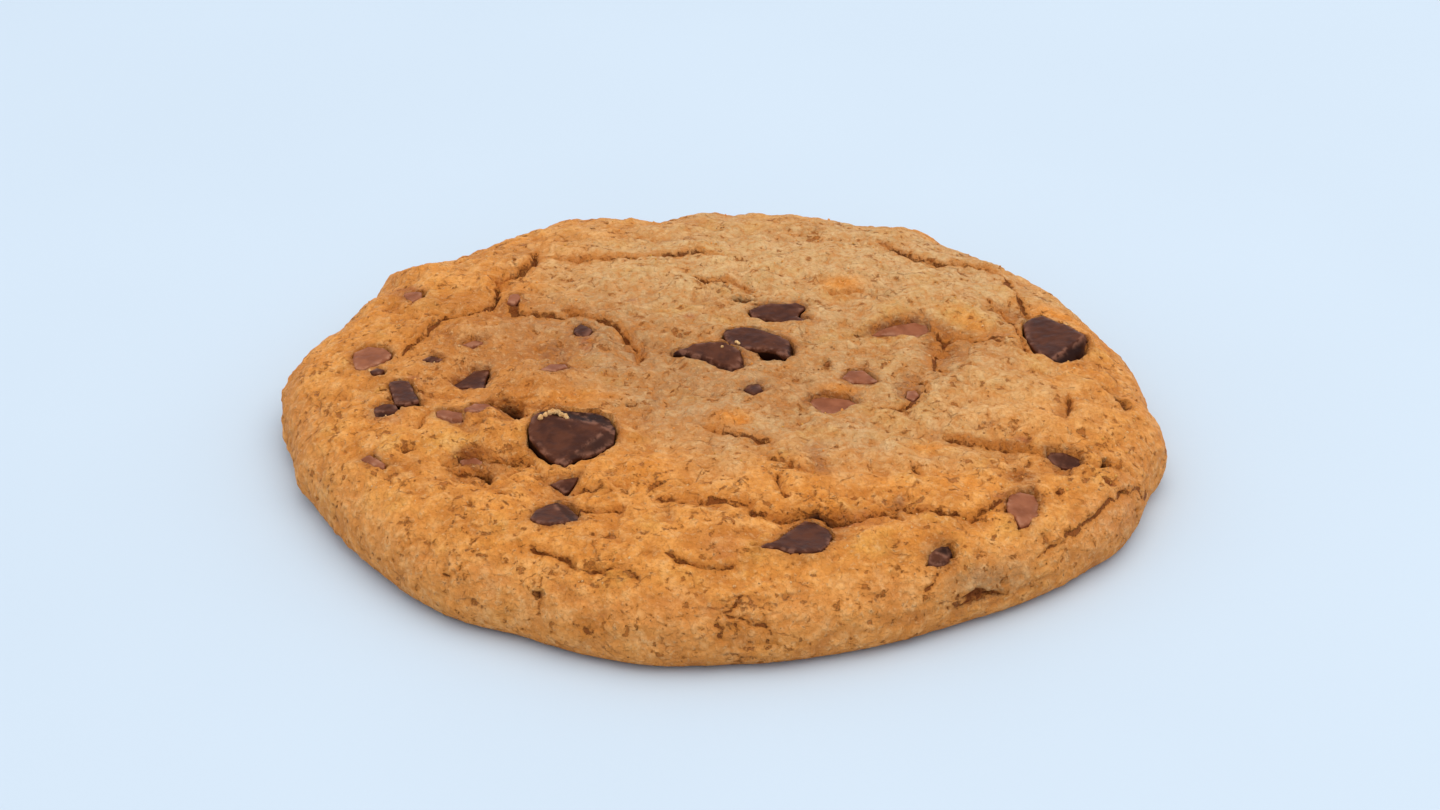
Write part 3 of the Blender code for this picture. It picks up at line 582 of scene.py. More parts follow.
def plain_height(x, y):
    """The height of the smooth top over each plan point, and how far it is up the shoulder, from 0 to 1."""
    radius = outline_radius(np.arctan2(y, x))
    inside = np.clip(radius - np.hypot(x, y), 0, None)
    return shoulder_height(inside, radius)


def in_oval(x, y, oval):
    """Distance from an oval's middle, in its own half lengths, squared."""
    turn = math.radians(oval.turn)
    along = (x - oval.x) * math.cos(turn) + (y - oval.y) * math.sin(turn)
    across = (y - oval.y) * math.cos(turn) - (x - oval.x) * math.sin(turn)
    return (along / oval.long) ** 2 + (across / oval.wide) ** 2


def to_line(x, y, points):
    """Distance from each plan point to the line, positive on its left, and how far along it, from 0 to 1."""
    ends = np.array(points, float)
    lengths = np.hypot(*np.diff(ends, axis=0).T)
    starts = np.concatenate([[0], np.cumsum(lengths)])
    best = np.full(x.shape, np.inf)
    side = np.ones(x.shape)
    along = np.zeros(x.shape)
    for (x0, y0), (x1, y1), length, start in zip(ends[:-1], ends[1:], lengths, starts):
        ahead = ((x - x0) * (x1 - x0) + (y - y0) * (y1 - y0)) / length**2
        part = np.clip(ahead, 0, 1)
        away = np.hypot(x - x0 - part * (x1 - x0), y - y0 - part * (y1 - y0))
        near = away < best
        best = np.where(near, away, best)
        turn = (x1 - x0) * (y - y0) - (y1 - y0) * (x - x0)
        side = np.where(near, np.sign(turn), side)
        along = np.where(near, (start + part * length) / starts[-1], along)
    return best * side, along


def fold_rise(x, y, fold):
    """The rise of one fold at each plan point, and the distance to its crack, which narrows at its ends."""
    away, along = to_line(x, y, fold.points)
    fade = np.clip(END_FADE * along * (1 - along) + END_DEPTH, 0, 1)
    broad = bell(away, fold.width)
    narrow = bell(away, NARROWNESS * fold.width)
    nearness = bell(away, STEP_REACH * fold.width)
    step = fold.step / 2 * np.tanh(STEP_SHARPNESS * away / fold.width) * nearness
    rise = step - fold.depth * (BROAD_GROOVE * broad + NARROW_GROOVE * narrow)
    return rise * fade, np.abs(away) / (fold.width * np.clip(fade, 0.3, 1))


def lump_rise(x, y):
    """The rise of all lumps and hollows at each plan point."""
    return sum(lump.rise * np.exp(-in_oval(x, y, lump)) for lump in LUMPS)


def fold_relief(x, y):
    """The rise of all folds, and the distance to the nearest crack, at each plan point."""
    rise = np.zeros(x.shape)
    gap = np.full(x.shape, FAR_GAP)
    for fold in FOLDS:
        fold_part, away = fold_rise(x, y, fold)
        rise += fold_part
        gap = np.minimum(gap, away)
    return rise, gap


def seen_over(x, y, rise):
    """Where the camera sees points this far above the smooth top: the smooth top's own points there."""
    top, _ = plain_height(x, y)
    share = -rise / (CAMERA_PLACE[2] - top)
    return x + share * (CAMERA_PLACE[0] - x), y + share * (CAMERA_PLACE[1] - y)


def crags(points):
    """The two sizes of unevenness that the solids have too."""
    coarse = np.array([noise.noise(Vector(point) / COARSE_SIZE) for point in points])
    fine = np.array([noise.noise(Vector(point) / FINE_SIZE) for point in points])
    return COARSE_CRAGS * coarse + FINE_CRAGS * fine


def surface_height(x, y):
    """The dough's height at one plan point, without its fine unevenness."""
    x = np.array([float(x)])
    y = np.array([float(y)])
    top, _ = plain_height(x, y)
    return float((top + lump_rise(x, y))[0])


def even_reach(share):
    """How far out on the top a share of its area lies, as a share of the radius."""
    middle_radius = (HALF_WIDTH + HALF_DEPTH) / 2
    out = np.linspace(0, 1, PROFILE_STEPS) ** 0.5
    height, _ = shoulder_height((1 - out) * middle_radius, middle_radius)
    length = np.hypot(np.diff(out) * middle_radius, np.diff(height))
    area = np.concatenate([[0], np.cumsum(length * (out[1:] + out[:-1]))])
    return np.interp(share, area / area[-1], out)


def top_plane(name):
    """The plane of the largest flat top face of a CAD node."""
    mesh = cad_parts[name].data
    tops = [face for face in mesh.polygons if face.normal.z > 0.5]
    largest = max(tops, key=lambda face: face.area)
    slope_x = -largest.normal.x / largest.normal.z
    slope_y = -largest.normal.y / largest.normal.z
    point = Vector(largest.center) / MM + Vector(MIDDLE)
    return Plane(point.z - slope_x * point.x - slope_y * point.y, slope_x, slope_y)


def plane_on_dough(corners, proud):
    """The plane of a small piece's top, which follows the dough's slope."""
    x, y = np.mean(corners, axis=0)
    rise_x = surface_height(x + SLOPE_REACH, y) - surface_height(x - SLOPE_REACH, y)
    rise_y = surface_height(x, y + SLOPE_REACH) - surface_height(x, y - SLOPE_REACH)
    slope_x = min(max(rise_x / (2 * SLOPE_REACH), -STEEPEST), STEEPEST)
    slope_y = min(max(rise_y / (2 * SLOPE_REACH), -STEEPEST), STEEPEST)
    return Plane(surface_height(x, y) + proud - slope_x * x - slope_y * y, slope_x, slope_y)


def level_at(plane, x, y):
    return plane.level + plane.slope_x * x + plane.slope_y * y


def as_seen(corners, plane):
    """Corners traced over the smooth dough, moved along the camera's line of sight to a piece's own top."""
    x, y = corners.T
    start = np.stack([x, y, plain_height(x, y)[0]], axis=1)
    way = np.array(CAMERA_PLACE) - start
    rise = level_at(plane, x, y) - start[:, 2]
    share = rise / (way[:, 2] - plane.slope_x * way[:, 0] - plane.slope_y * way[:, 1])
    return (start + share[:, None] * way)[:, :2]


def settled(traced, proud):
    """A small piece's outline and top plane where its traced outline meets the dough, seen by the camera."""
    corners = traced
    for _ in range(SETTLING_ROUNDS):
        plane = plane_on_dough(corners, proud)
        corners = as_seen(traced, plane)
    return corners, plane


def chocolate_pieces():
    """Each CAD node that is chocolate, with its outline and its top plane."""
    pieces = {}
    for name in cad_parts:
        if name == "dough":
            continue
        kind = "milk" if name in MILK_NODES else "dark"
        flush = kind == "milk" or name.startswith("nugget") or name in FLUSH_CHUNKS
        if flush:
            proud = DEEP_LYING.get(name, MILK_PROUD if kind == "milk" else NUGGET_PROUD)
            corners, plane = settled(np.array(OUTLINES[name]), proud)
        else:
            plane = top_plane(name)
            plane = plane._replace(level=plane.level - (SUNK_LARGEST if name == "chunk_large" else SUNK))
            corners = as_seen(np.array(OUTLINES[name]), plane)
        pieces[name] = Piece(kind, corners, plane, CHUNK_DEPTH, flush)
    return pieces


def small_chips():
    """The chips that have no CAD node of their own."""
    pieces = []
    for chip in CHIPS:
        corners, plane = settled(np.array(chip.corners), CHIP_PROUD)
        pieces.append(Piece(chip.kind, corners, plane, CHIP_DEPTH, True))
    return pieces


def outside_of(x, y, corners):
    """How far each plan point is outside an outline, negative inside, and how the nearest edge faces.

    The second value is 1 where that edge faces the camera, and -1 where it faces away from it.
    """
    away = np.full(x.shape, np.inf)
    front = np.zeros(x.shape)
    inside = np.zeros(x.shape, bool)
    area = (corners[:, 0] * np.roll(corners[:, 1], -1) - corners[:, 1] * np.roll(corners[:, 0], -1)).sum()
    for (x0, y0), (x1, y1) in zip(corners, np.roll(corners, -1, axis=0)):
        length = math.hypot(x1 - x0, y1 - y0)
        part = np.clip(((x - x0) * (x1 - x0) + (y - y0) * (y1 - y0)) / length**2, 0, 1)
        reach = np.hypot(x - x0 - part * (x1 - x0), y - y0 - part * (y1 - y0))
        near = reach < away
        away = np.where(near, reach, away)
        front = np.where(near, math.copysign(1, area) * (x1 - x0) / length, front)
        crosses = (y0 > y) != (y1 > y)
        if y0 != y1:
            inside ^= crosses & (x < x0 + (y - y0) * (x1 - x0) / (y1 - y0))
    return np.where(inside, -away, away), front


PIECES = chocolate_pieces()
CHIP_PIECES = small_chips()

# What the fine surface adds
CLUMPS = 0.36
CLUMP_SIZE = 3.0
CRUMB = 0.28
CRUMB_SIZE = 1.7
CREASE_WIDTH = 0.28
CREASED_SIZE = 4.0
GRIT = 0.05
GRIT_SIZE = 0.6
FLAKES = 0.22
FLAKE_SIZE = 2.3
TEAR_SIZE = 1.5
TEAR_WIDTH = 0.16
TEAR_DEPTH = 0.45
CRACK_SIZE = 3.6
CRACK_WIDTH = 0.28
CRACK_DEPTH = 0.28
PIT_COUNT = 430
LOWEST_PIT = 0.8
PIT_CLUSTER_SIZE = 7.0
SMALLEST_PIT = 0.16
PIT_RANGE = 0.30
PIT_LENGTHS = (1.0, 3.4)
PIT_DEPTHS = (0.6, 1.3)
BROAD_WARP = 0.45
BROAD_WARP_SIZE = 2.4
NARROW_WARP = 0.26
NARROW_WARP_SIZE = 1.0
EDGE_RELIEF = 0.55
MIDDLE_RELIEF = 0.45
HOLE_REACH = 1.25
DARK_DEPTH = 1.2
RAGGED_BROAD = 0.30
RAGGED_NARROW = 0.16
LIP_HEIGHT = 0.22
LIP_AWAY = 1.2
LIP_WIDTH = 0.8
FLUSH_CREVICE = 0.3
HALO_WIDTH = 0.7
NEAR_CHUNK = 3.0
POCKET_SHARE = 0.7
BANK_WIDTH = 0.7
FRONT_BANK = 0.4
CREVICE_DEPTH = 0.7
CREVICE_WIDTH = 0.35
ROUGHENING = 0.10


def random_pits(base, plan_out, seed):
    """Seeded small pits in clusters: the drop at each point, and how deep in a pit it is, from 0 to 1, which
    sets the painted shade in the pit.
    """
    draw = np.random.default_rng(seed)
    drop = np.zeros(len(base))
    inside = np.zeros(len(base))
    allowed = np.nonzero(base[:, 2] > LOWEST_PIT)[0]
    clusters = smooth_step(grain(base[allowed], PIT_CLUSTER_SIZE, 14), -0.1, 0.6)
    chance = (0.15 + smooth_step(plan_out[allowed], 0.5, 0.95)) * (0.12 + clusters)
    chosen = draw.choice(allowed, size=PIT_COUNT, replace=False, p=chance / chance.sum())
    sizes = SMALLEST_PIT + PIT_RANGE * draw.power(0.6, PIT_COUNT) ** 2
    for index, size in zip(chosen, sizes):
        place = base[index]
        theta = math.atan2(place[1], place[0]) + draw.normal(0, 0.5)
        around = np.array([-math.sin(theta), math.cos(theta), 0])
        length = draw.uniform(*PIT_LENGTHS)
        depth = size * draw.uniform(*PIT_DEPTHS)
        near = np.nonzero(np.abs(base - place).max(axis=1) < 1.3 * size * length)[0]
        away = base[near] - place
        along = away @ around
        across = away - along[:, None] * around
        reach = (along / (size * length)) ** 2 + (across**2).sum(axis=1) / size**2
        bowl = np.exp(-1.2 * reach)
        drop[near] = np.maximum(drop[near], depth * bowl)
        inside[near] = np.maximum(inside[near], bowl * draw.uniform(0.4, 0.75))
    return drop, inside


def warp(points, seed):
    """How far each point is pushed aside, so that no fold or hole has a smooth edge."""
    broad = BROAD_WARP * grain(points, BROAD_WARP_SIZE, seed)
    return broad + NARROW_WARP * grain(points, NARROW_WARP_SIZE, seed + 1)


class Dough:
    """The dough's points and what its colours depend on, found once for all points."""

    def __init__(self, directions):
        x, y, z = directions.T
        self.theta = np.arctan2(y, x)
        share = (1 - z) / 2
        radius = outline_radius(self.theta)
        self.on_top = share < TOP_SHARE
        self.on_foot = share > SIDE_SHARE
        top_reach = radius * even_reach(np.clip(share / TOP_SHARE, 0, 1))
        self.side_turn = np.clip((share - TOP_SHARE) / (SIDE_SHARE - TOP_SHARE), 0, 1) * math.pi / 2
        side_reach = radius - FOOT_INSET * (1 - np.cos(self.side_turn))
        foot_reach = (radius - FOOT_INSET) * np.sqrt(np.clip((1 - share) / (1 - SIDE_SHARE), 0, 1))
        reach = np.where(self.on_top, top_reach, np.where(self.on_foot, foot_reach, side_reach))
        self.plan_x = reach * np.cos(self.theta)
        self.plan_y = reach * np.sin(self.theta)
        self.out = reach / radius
        top, self.up = plain_height(self.plan_x, self.plan_y)
        side = WIDEST_LINE * (1 - np.sin(self.side_turn))
        height = np.where(self.on_top, top, np.where(self.on_foot, 0, side))
        self.base = np.stack([self.plan_x, self.plan_y, height], axis=1)
        self.flare = np.where(
            self.on_top, math.pi / 2 * (1 - self.up) ** FLARE_POWER, math.pi / 2 + self.side_turn
        )
        self.points = self.moved()

    def moved(self):
        base = self.base
        warp_x, warp_y = warp(base, 1), warp(base, 3)
        top_fade = SIDE_RELIEF + (1 - SIDE_RELIEF) * self.up
        side_fade = SIDE_RELIEF * (1 - np.sin(self.side_turn))
        fade = np.where(self.on_top, top_fade, np.where(self.on_foot, 0, side_fade))
        lumps = lump_rise(self.plan_x + warp_x, self.plan_y + warp_y) * fade
        self.lumps = lumps * self.on_top
        seen_x, seen_y = seen_over(self.plan_x, self.plan_y, self.lumps)
        rise, self.gap = fold_relief(seen_x + warp_x, seen_y + warp_y)
        shift = lumps + (rise + crags(base)) * fade
        # How low the broad relief lies, which sets the painted shade in its hollows
        self.hollow = smooth_step(-lumps - crags(base), 0.2, 1.6)
        shift -= self.dig_holes(seen_x + warp_x, seen_y + warp_y)

        warped = base + np.stack([warp_x, warp_y, grain(base, 2.6, 5) * 0.5], axis=1)
        on_side = EDGE_RELIEF - EDGE_RELIEF * np.sin(self.side_turn)
        edge = np.where(self.on_top, EDGE_RELIEF + MIDDLE_RELIEF * self.up, on_side)
        fine = self.fine_relief(warped)
        # How low and how high the fine relief lies, which sets painted shade and painted highlight
        self.low = smooth_step(-fine - np.minimum(rise, 0), 0.25, 0.95)
        self.high = smooth_step(fine, 0.12, 0.5)
        shift += fine * np.where(self.on_foot, 0, edge)
        shift += self.lips()

        out = shift * np.sin(self.flare)
        points = base + np.stack(
            [out * np.cos(self.theta), out * np.sin(self.theta), shift * np.cos(self.flare)], axis=1
        )
        foot_dents = np.clip(0.16 * layered(base, 1.6, 41), 0, None)
        points[:, 2] = np.where(self.on_foot, foot_dents, np.clip(points[:, 2], 0.01, None))
        self.sink_pockets(points)
        return points

    def fine_relief(self, warped):
        """Clumps, crumb, cracks and pits of the baked surface."""
        self.clump = layered(warped, CLUMP_SIZE, 6, 2)
        away = edge_distance(warped, CRUMB_SIZE, 31)
        self.crease = bell(away, CREASE_WIDTH)
        self.crease *= smooth_step(grain(self.base, CREASED_SIZE, 19), -0.5, 0.4)
        rise = CLUMPS * self.clump - CRUMB * self.crease + GRIT * grain(self.base, GRIT_SIZE, 8)

        where = smooth_step(grain(self.base, 5.0, 21), 0.0, 0.6)
        away = edge_distance(warped, CRACK_SIZE, 21)
        rise -= CRACK_DEPTH * bell(away, CRACK_WIDTH) * where

        flakes = 1 - 2 * np.abs(grain(warped, FLAKE_SIZE, 17))
        rise -= FLAKES * flakes * smooth_step(grain(self.base, 8.0, 18), -0.5, 0.4)
        torn = np.max([np.exp(-in_oval(self.plan_x, self.plan_y, oval)) for oval in TORN], axis=0)
        torn *= bell(grain(warped, TEAR_SIZE, 22), TEAR_WIDTH) * self.on_top
        rise -= TEAR_DEPTH * torn
        self.crease = np.maximum(self.crease, torn)
        drop, self.pit = random_pits(warped, self.out, SEED + 1)
        self.pit = np.maximum(self.pit, 0.45 * torn)
        rise -= drop
        self.pit = np.maximum(self.pit, self.holes)
        return rise

    def dig_holes(self, x, y):
        """The drop of the named holes, and how much painted shade each point gets in them."""
        drop = np.zeros(len(self.base))
        self.holes = np.zeros(len(self.base))
        self.painted_hole_shade = np.zeros(len(self.base))
        for hole in HOLES:
            bowl = np.clip(HOLE_REACH - in_oval(x, y, hole), 0, 1) * self.on_top
            drop = np.maximum(drop, hole.depth * bowl)
            self.holes = np.maximum(self.holes, bowl)
            self.painted_hole_shade = np.maximum(self.painted_hole_shade, bowl * min(hole.depth / DARK_DEPTH, 1))
        return drop

    def lips(self):
        """A raised lip of dough round each chocolate piece, and a crevice along its front, which the shader
        fills with painted shade.
        """
        rise = np.zeros(len(self.base))
        ragged = RAGGED_BROAD * grain(self.base, 1.4, 12) + RAGGED_NARROW * grain(self.base, 0.7, 13)
        self.pockets = []
        self.outside = np.full(len(self.base), np.inf)
        self.crevice = np.zeros(len(self.base))
        for piece in [*PIECES.values(), *CHIP_PIECES]:
            corners = piece.corners
            low = corners.min(axis=0) - NEAR_CHUNK
            high = corners.max(axis=0) + NEAR_CHUNK
            near = (self.plan_x > low[0]) & (self.plan_x < high[0])
            near &= (self.plan_y > low[1]) & (self.plan_y < high[1]) & self.on_top
            near = np.nonzero(near)[0]
            away, front = outside_of(self.plan_x[near], self.plan_y[near], corners)
            banked = 1 - (1 - FRONT_BANK) * smooth_step(front, -0.2, 0.5) * (not piece.flush)
            self.pockets.append((piece, near, away + ragged[near] - 0.05, banked))
            self.outside[near] = np.minimum(self.outside[near], away)
            lip = bell(away - LIP_AWAY, LIP_WIDTH) * (0.6 + ragged[near])
            gap = bell(away, CREVICE_WIDTH) * smooth_step(front, -0.2, 0.5)
            gap *= FLUSH_CREVICE if piece.flush else 1.0
            self.crevice[near] = np.maximum(self.crevice[near], gap)
            rise[near] += LIP_HEIGHT * lip
        self.near_chocolate = bell(np.clip(self.outside, 0, None), HALO_WIDTH)
        return rise - CREVICE_DEPTH * self.crevice

    def sink_pockets(self, points):
        """Banks the dough up to each chocolate piece's top, and lowers it under the piece."""
        for piece, near, away, banked in self.pockets:
            top = level_at(piece.plane, points[near, 0], points[near, 1])
            bank = banked * bell(np.clip(away, 0, None), BANK_WIDTH)
            bank *= (1 - self.crevice[near]) * (1 - self.holes[near])
            height = points[near, 2]
            height = np.maximum(height, height * (1 - bank) + top * bank)
            inside = smooth_step(away, 0.05, -0.3)
            floor = np.minimum(height, top - POCKET_SHARE * piece.depth)
            points[near, 2] = height * (1 - inside) + floor * inside

    def colours(self):
        """The broad baked colour of each point, without its cracks and pits, with painted shade in its
        creases and hollows and painted highlight on its raised relief.
        """
        base = self.base
        wide = layered(base, 14.0, 51)
        small = layered(base, 3.2, 52)
        golden = np.hypot((self.plan_x - 9) / 44, (self.plan_y - 12) / 44)
        golden = np.maximum(golden, self.out - 0.1 - 0.2 * smooth_step(self.plan_y, 0, 30))
        self.browned = smooth_step(golden + 0.12 * wide + 0.05 * small, 0.5, 0.9)
        mottled = np.clip(0.5 + 0.5 * wide + 0.25 * small, 0, 1)
        middling = layered(base, 5.0, 56, 2)
        colour = blend(PALE, TAN, mottled)
        for over, share in (
            (GOLDEN, self.browned),
            (ORANGE, self.browned * smooth_step(small + 0.4 * wide, -0.3, 0.9) * 0.6),
            (RUST, 0.45 * smooth_step(middling, 0.15, 0.8) * (0.3 + 0.7 * self.browned)),
            (YELLOW, 0.40 * smooth_step(-middling, 0.2, 0.8)),
            # Painted shade in the creases, the low clumps, the hollows and the low relief, and painted
            # highlight on the raised relief
            (RUST, 0.45 * self.crease),
            (RUST, 0.35 * smooth_step(-self.clump, 0.2, 0.9)),
            (STAIN_AND_SHADE, 0.45 * self.hollow),
            (BROWN, 0.42 * self.low),
            (LIGHT, 0.30 * self.high),
            (CLAY, 0.4 * smooth_step(-self.up + 0.1 * small, -0.45, -0.1)),
            (BROWN, 0.30 * smooth_step(self.side_turn, 0.3, 1.4)),
        ):
            colour = blend(colour, over, share)

        seen_x, seen_y = seen_over(self.plan_x, self.plan_y, self.lumps)
        seen_x += 0.35 * grain(base, 1.8, 53)
        seen_y += 0.35 * grain(base, 1.8, 54)
        for patch in PATCHES:
            near = np.exp(-in_oval(seen_x, seen_y, patch) ** 1.3)
            colour = blend(colour, patch.colour, near * patch.strength * self.on_top)

        halo = self.near_chocolate * (0.55 + 0.35 * small)
        colour = blend(colour, HALO, np.clip(halo, 0, 0.8))
        foot = blend(UNDERSIDE, BROWN, np.clip(0.35 + 0.5 * layered(base, 5.0, 55), 0, 1))
        return np.where(self.on_foot[:, None], foot, colour)


def blend(first, second, share):
    share = np.asarray(share)[:, None]
    return first * (1 - share) + second * share


def cube_sphere(divisions):
    """A cube's surface, evenly divided, and its points' directions from the middle."""
    built = bmesh.new()
    bmesh.ops.create_cube(built, size=2)
    bmesh.ops.subdivide_edges(built, edges=built.edges, cuts=divisions - 1, use_grid_fill=True)
    cube = np.array([vertex.co for vertex in built.verts])
    even = np.tan(cube * math.pi / 4)
    return built, even / np.linalg.norm(even, axis=1)[:, None]


def linked(name, data):
    """A new object in the scene."""
    obj = bpy.data.objects.new(name, data)
    bpy.context.scene.collection.objects.link(obj)
    return obj


def mesh_of(name, built):
    """The mesh of a bmesh, which it frees."""
    mesh = bpy.data.meshes.new(name)
    built.to_mesh(mesh)
    built.free()
    return mesh


def to_object(name, mesh, material):
    """An object from a mesh in plan millimetres."""
    mesh.transform(Matrix.Scale(MM, 4) @ Matrix.Translation(-Vector(MIDDLE)))
    mesh.shade_smooth()
    mesh.materials.clear()
    mesh.materials.append(material)
    return linked(name, mesh)


def paint(mesh, name, colours):
    """Stores one colour for each vertex."""
    layer = mesh.color_attributes.new(name, "FLOAT_COLOR", "POINT")
    solid = np.ones((len(colours), 4), np.float32)
    solid[:, :3] = np.clip(colours, 0, 1)
    layer.data.foreach_set("color", solid.ravel())


def store(mesh, name, values):
    """Stores one number for each vertex."""
    layer = mesh.attributes.new(name, "FLOAT", "POINT")
    layer.data.foreach_set("value", np.asarray(values, np.float32))


def place_piece(obj, slot, *nodes):
    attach(obj, "root")
    if nodes:
        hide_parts(*nodes)
    return obj


class Finish:
    """Short ways to build one material's nodes, with sizes in millimetres."""

    def __init__(self, name):
        self.material = bpy.data.materials.new(name)
        self.material.use_nodes = True
        self.tree = self.material.node_tree
        self.shader = self.tree.nodes["Principled BSDF"]
        self.coords = self.tree.nodes.new("ShaderNodeTexCoord").outputs["Object"]

    def put(self, value, socket):
        """Links a socket to an input, or sets the input to a number or a colour."""
        if isinstance(value, bpy.types.NodeSocket):
            self.tree.links.new(value, socket)
        elif np.ndim(value):
            socket.default_value = (*value, 1)
        else:
            socket.default_value = value

    def node(self, kind, inputs):
        """A new node with these values put in its inputs."""
        made = self.tree.nodes.new("ShaderNode" + kind)
        for name, value in inputs.items():
            self.put(value, made.inputs[name])
        return made

    def noise(self, size, detail, roughness, distortion=0.0, output="Fac"):
        inputs = {"Vector": self.coords, "Scale": 1 / (size * MM), "Detail": detail}
        inputs.update(Roughness=roughness, Distortion=distortion)
        return self.node("TexNoise", inputs).outputs[output]

    def stored(self, name, output="Fac"):
        made = self.tree.nodes.new("ShaderNodeAttribute")
        made.attribute_name = name
        return made.outputs[output]

    def steps(self, value, low, high, to_low=0.0, to_high=1.0):
        inputs = {"Value": value, "From Min": low, "From Max": high, "To Min": to_low, "To Max": to_high}
        made = self.node("MapRange", inputs)
        made.interpolation_type = "SMOOTHSTEP"
        return made.outputs["Result"]

    def maths(self, operation, first, second=0.0):
        made = self.tree.nodes.new("ShaderNodeMath")
        made.operation = operation
        self.put(first, made.inputs[0])
        self.put(second, made.inputs[1])
        return made.outputs["Value"]

    def plus(self, first, second):
        return self.maths("ADD", first, second)

    def times(self, first, second):
        return self.maths("MULTIPLY", first, second)

    def mix(self, share, first, second, mode="MIX"):
        made = self.tree.nodes.new("ShaderNodeMix")
        made.data_type = "RGBA"
        made.blend_type = mode
        self.put(share, made.inputs[0])
        self.put(first, made.inputs[6])
        self.put(second, made.inputs[7])
        return made.outputs[2]

    def bump(self, height, distance, before=None):
        made = self.node("Bump", {"Height": height, "Distance": distance * MM})
        if before is not None:
            self.put(before, made.inputs["Normal"])
        return made.outputs["Normal"]

    def shaken(self, size, amount):
        """The place, moved about this much by a noise of this size."""
        moved = self.tree.nodes.new("ShaderNodeVectorMath")
        moved.operation = "MULTIPLY_ADD"
        self.put(self.noise(size, 3.0, 0.5, output="Color"), moved.inputs[0])
        moved.inputs[1].default_value = [2 * amount * MM] * 3
        self.put(self.coords, moved.inputs[2])
        return moved.outputs["Vector"]

    def pattern(self, size, place):
        return self.node("TexVoronoi", {"Vector": place, "Scale": 1 / (size * MM)})

    def cells(self, size, place):
        """How far each place is from the middle of its cell in a random pattern, in cells."""
        return self.pattern(size, place).outputs["Distance"]

    def border(self, size, place):
        """How many millimetres each place is from the border between two cells of a random pattern."""
        made = self.pattern(size, place)
        made.feature = "DISTANCE_TO_EDGE"
        return self.times(made.outputs["Distance"], size)

    def finished(self, colour, roughness, specular, normal=None):
        """The material, with these values put in its shader."""
        self.put(colour, self.shader.inputs["Base Color"])
        self.put(roughness, self.shader.inputs["Roughness"])
        self.put(specular, self.shader.inputs["Specular IOR Level"])
        if normal is not None:
            self.put(normal, self.shader.inputs["Normal"])
        return self.material


def dough_material():
    made = Finish("baked_dough")
    colour = made.stored("bake", "Color")
    gap = made.stored("gap")
    pit = made.stored("pit")
    rim = made.stored("browned")

    coarse = made.noise(1.7, 4.0, 0.62)
    crumb = made.noise(0.62, 4.0, 0.62)
    grit = made.noise(0.26, 3.0, 0.6)
    ragged = made.plus(crumb, -0.5)
    grains = made.cells(0.62, made.shaken(0.6, 0.25))

    # Light and dark crumb, on the same noises as the bump: painted shade in the low crumb, and lighter raised
    # crumb and yellow grit that are partly pale sugar and partly painted highlight
    shaded = made.mix(1.0, colour, (0.86, 0.78, 0.66), "MULTIPLY")
    colour = made.mix(made.steps(coarse, 0.32, 0.68), shaded, colour)
    colour = made.mix(made.steps(coarse, 0.50, 0.66, 0, 0.2), colour, LIGHT)
    colour = made.mix(made.steps(crumb, 0.54, 0.70, 0, 0.4), colour, LIGHT)
    colour = made.mix(made.steps(grit, 0.62, 0.76, 0, 0.3), colour, YELLOW)

    # Painted shade in soft hollows, at the grains' borders, in small pores in clusters and in a few thin
    # cracks, where the bump lowers the surface too
    hollow = made.noise(1.15, 4.0, 0.62, 0.2)
    colour = made.mix(made.steps(hollow, 0.49, 0.34, 0, 0.6), colour, RUST)
    colour = made.mix(made.steps(grains, 0.45, 0.85, 0, 0.45), colour, RUST)
    clusters = made.steps(made.plus(made.noise(5.5, 3.0, 0.55), made.times(rim, 0.05)), 0.46, 0.62)
    pores = made.steps(made.plus(hollow, made.times(clusters, -0.05)), 0.35, 0.30)
    cracked = made.steps(made.border(4.2, made.shaken(0.9, 0.4)), 0.10, 0.03)
    cracked = made.times(cracked, made.steps(made.noise(2.8, 2.0, 0.5), 0.55, 0.62, 0, 0.6))
    cracked = made.times(made.maths("MAXIMUM", cracked, pores), 0.8)

    # Painted shade in the stored cracks, pits, named holes and crevices, with crisp ragged edges, and a
    # rust-brown band beside each crack
    uneven = made.plus(made.times(ragged, 0.9), made.times(made.plus(coarse, -0.5), 1.0))
    uneven = made.plus(uneven, made.times(made.plus(made.noise(4.0, 2.0, 0.5), -0.48), 1.1))
    crack = made.steps(made.plus(gap, uneven), 0.26, 0.02)
    near_crack = made.steps(made.plus(gap, made.times(ragged, 1.6)), 1.3, 0.2, 0, 0.65)
    hole = made.steps(made.plus(pit, made.times(ragged, 2.2)), 0.34, 0.62)
    crevice = made.steps(made.stored("crevice"), 0.25, 0.75)
    colour = made.mix(near_crack, colour, RUST)
    colour = made.mix(made.times(cracked, 0.75), colour, BROWN)
    colour = made.mix(made.times(hole, 0.7), colour, BROWN)
    colour = made.mix(made.times(crack, 0.78), colour, DEEP)
    pit_bottom = made.steps(made.plus(pit, made.times(ragged, 1.2)), 0.75, 0.95)
    colour = made.mix(made.times(pit_bottom, 0.7), colour, DEEP)
    colour = made.mix(made.times(crevice, 0.9), colour, DARKEST)

    height = made.plus(made.times(coarse, 0.7), made.times(crumb, 0.7))
    height = made.plus(height, made.times(hollow, 0.5))
    height = made.plus(height, made.times(grains, -0.5))
    height = made.plus(height, made.times(cracked, -0.4))
    height = made.plus(height, made.times(made.maths("MAXIMUM", crack, hole), -0.4))
    normal = made.bump(height, 0.56)
    normal = made.bump(grit, 0.12, normal)
    return made.finished(colour, made.steps(crumb, 0.3, 0.7, 0.85, 0.62), 0.14, normal)


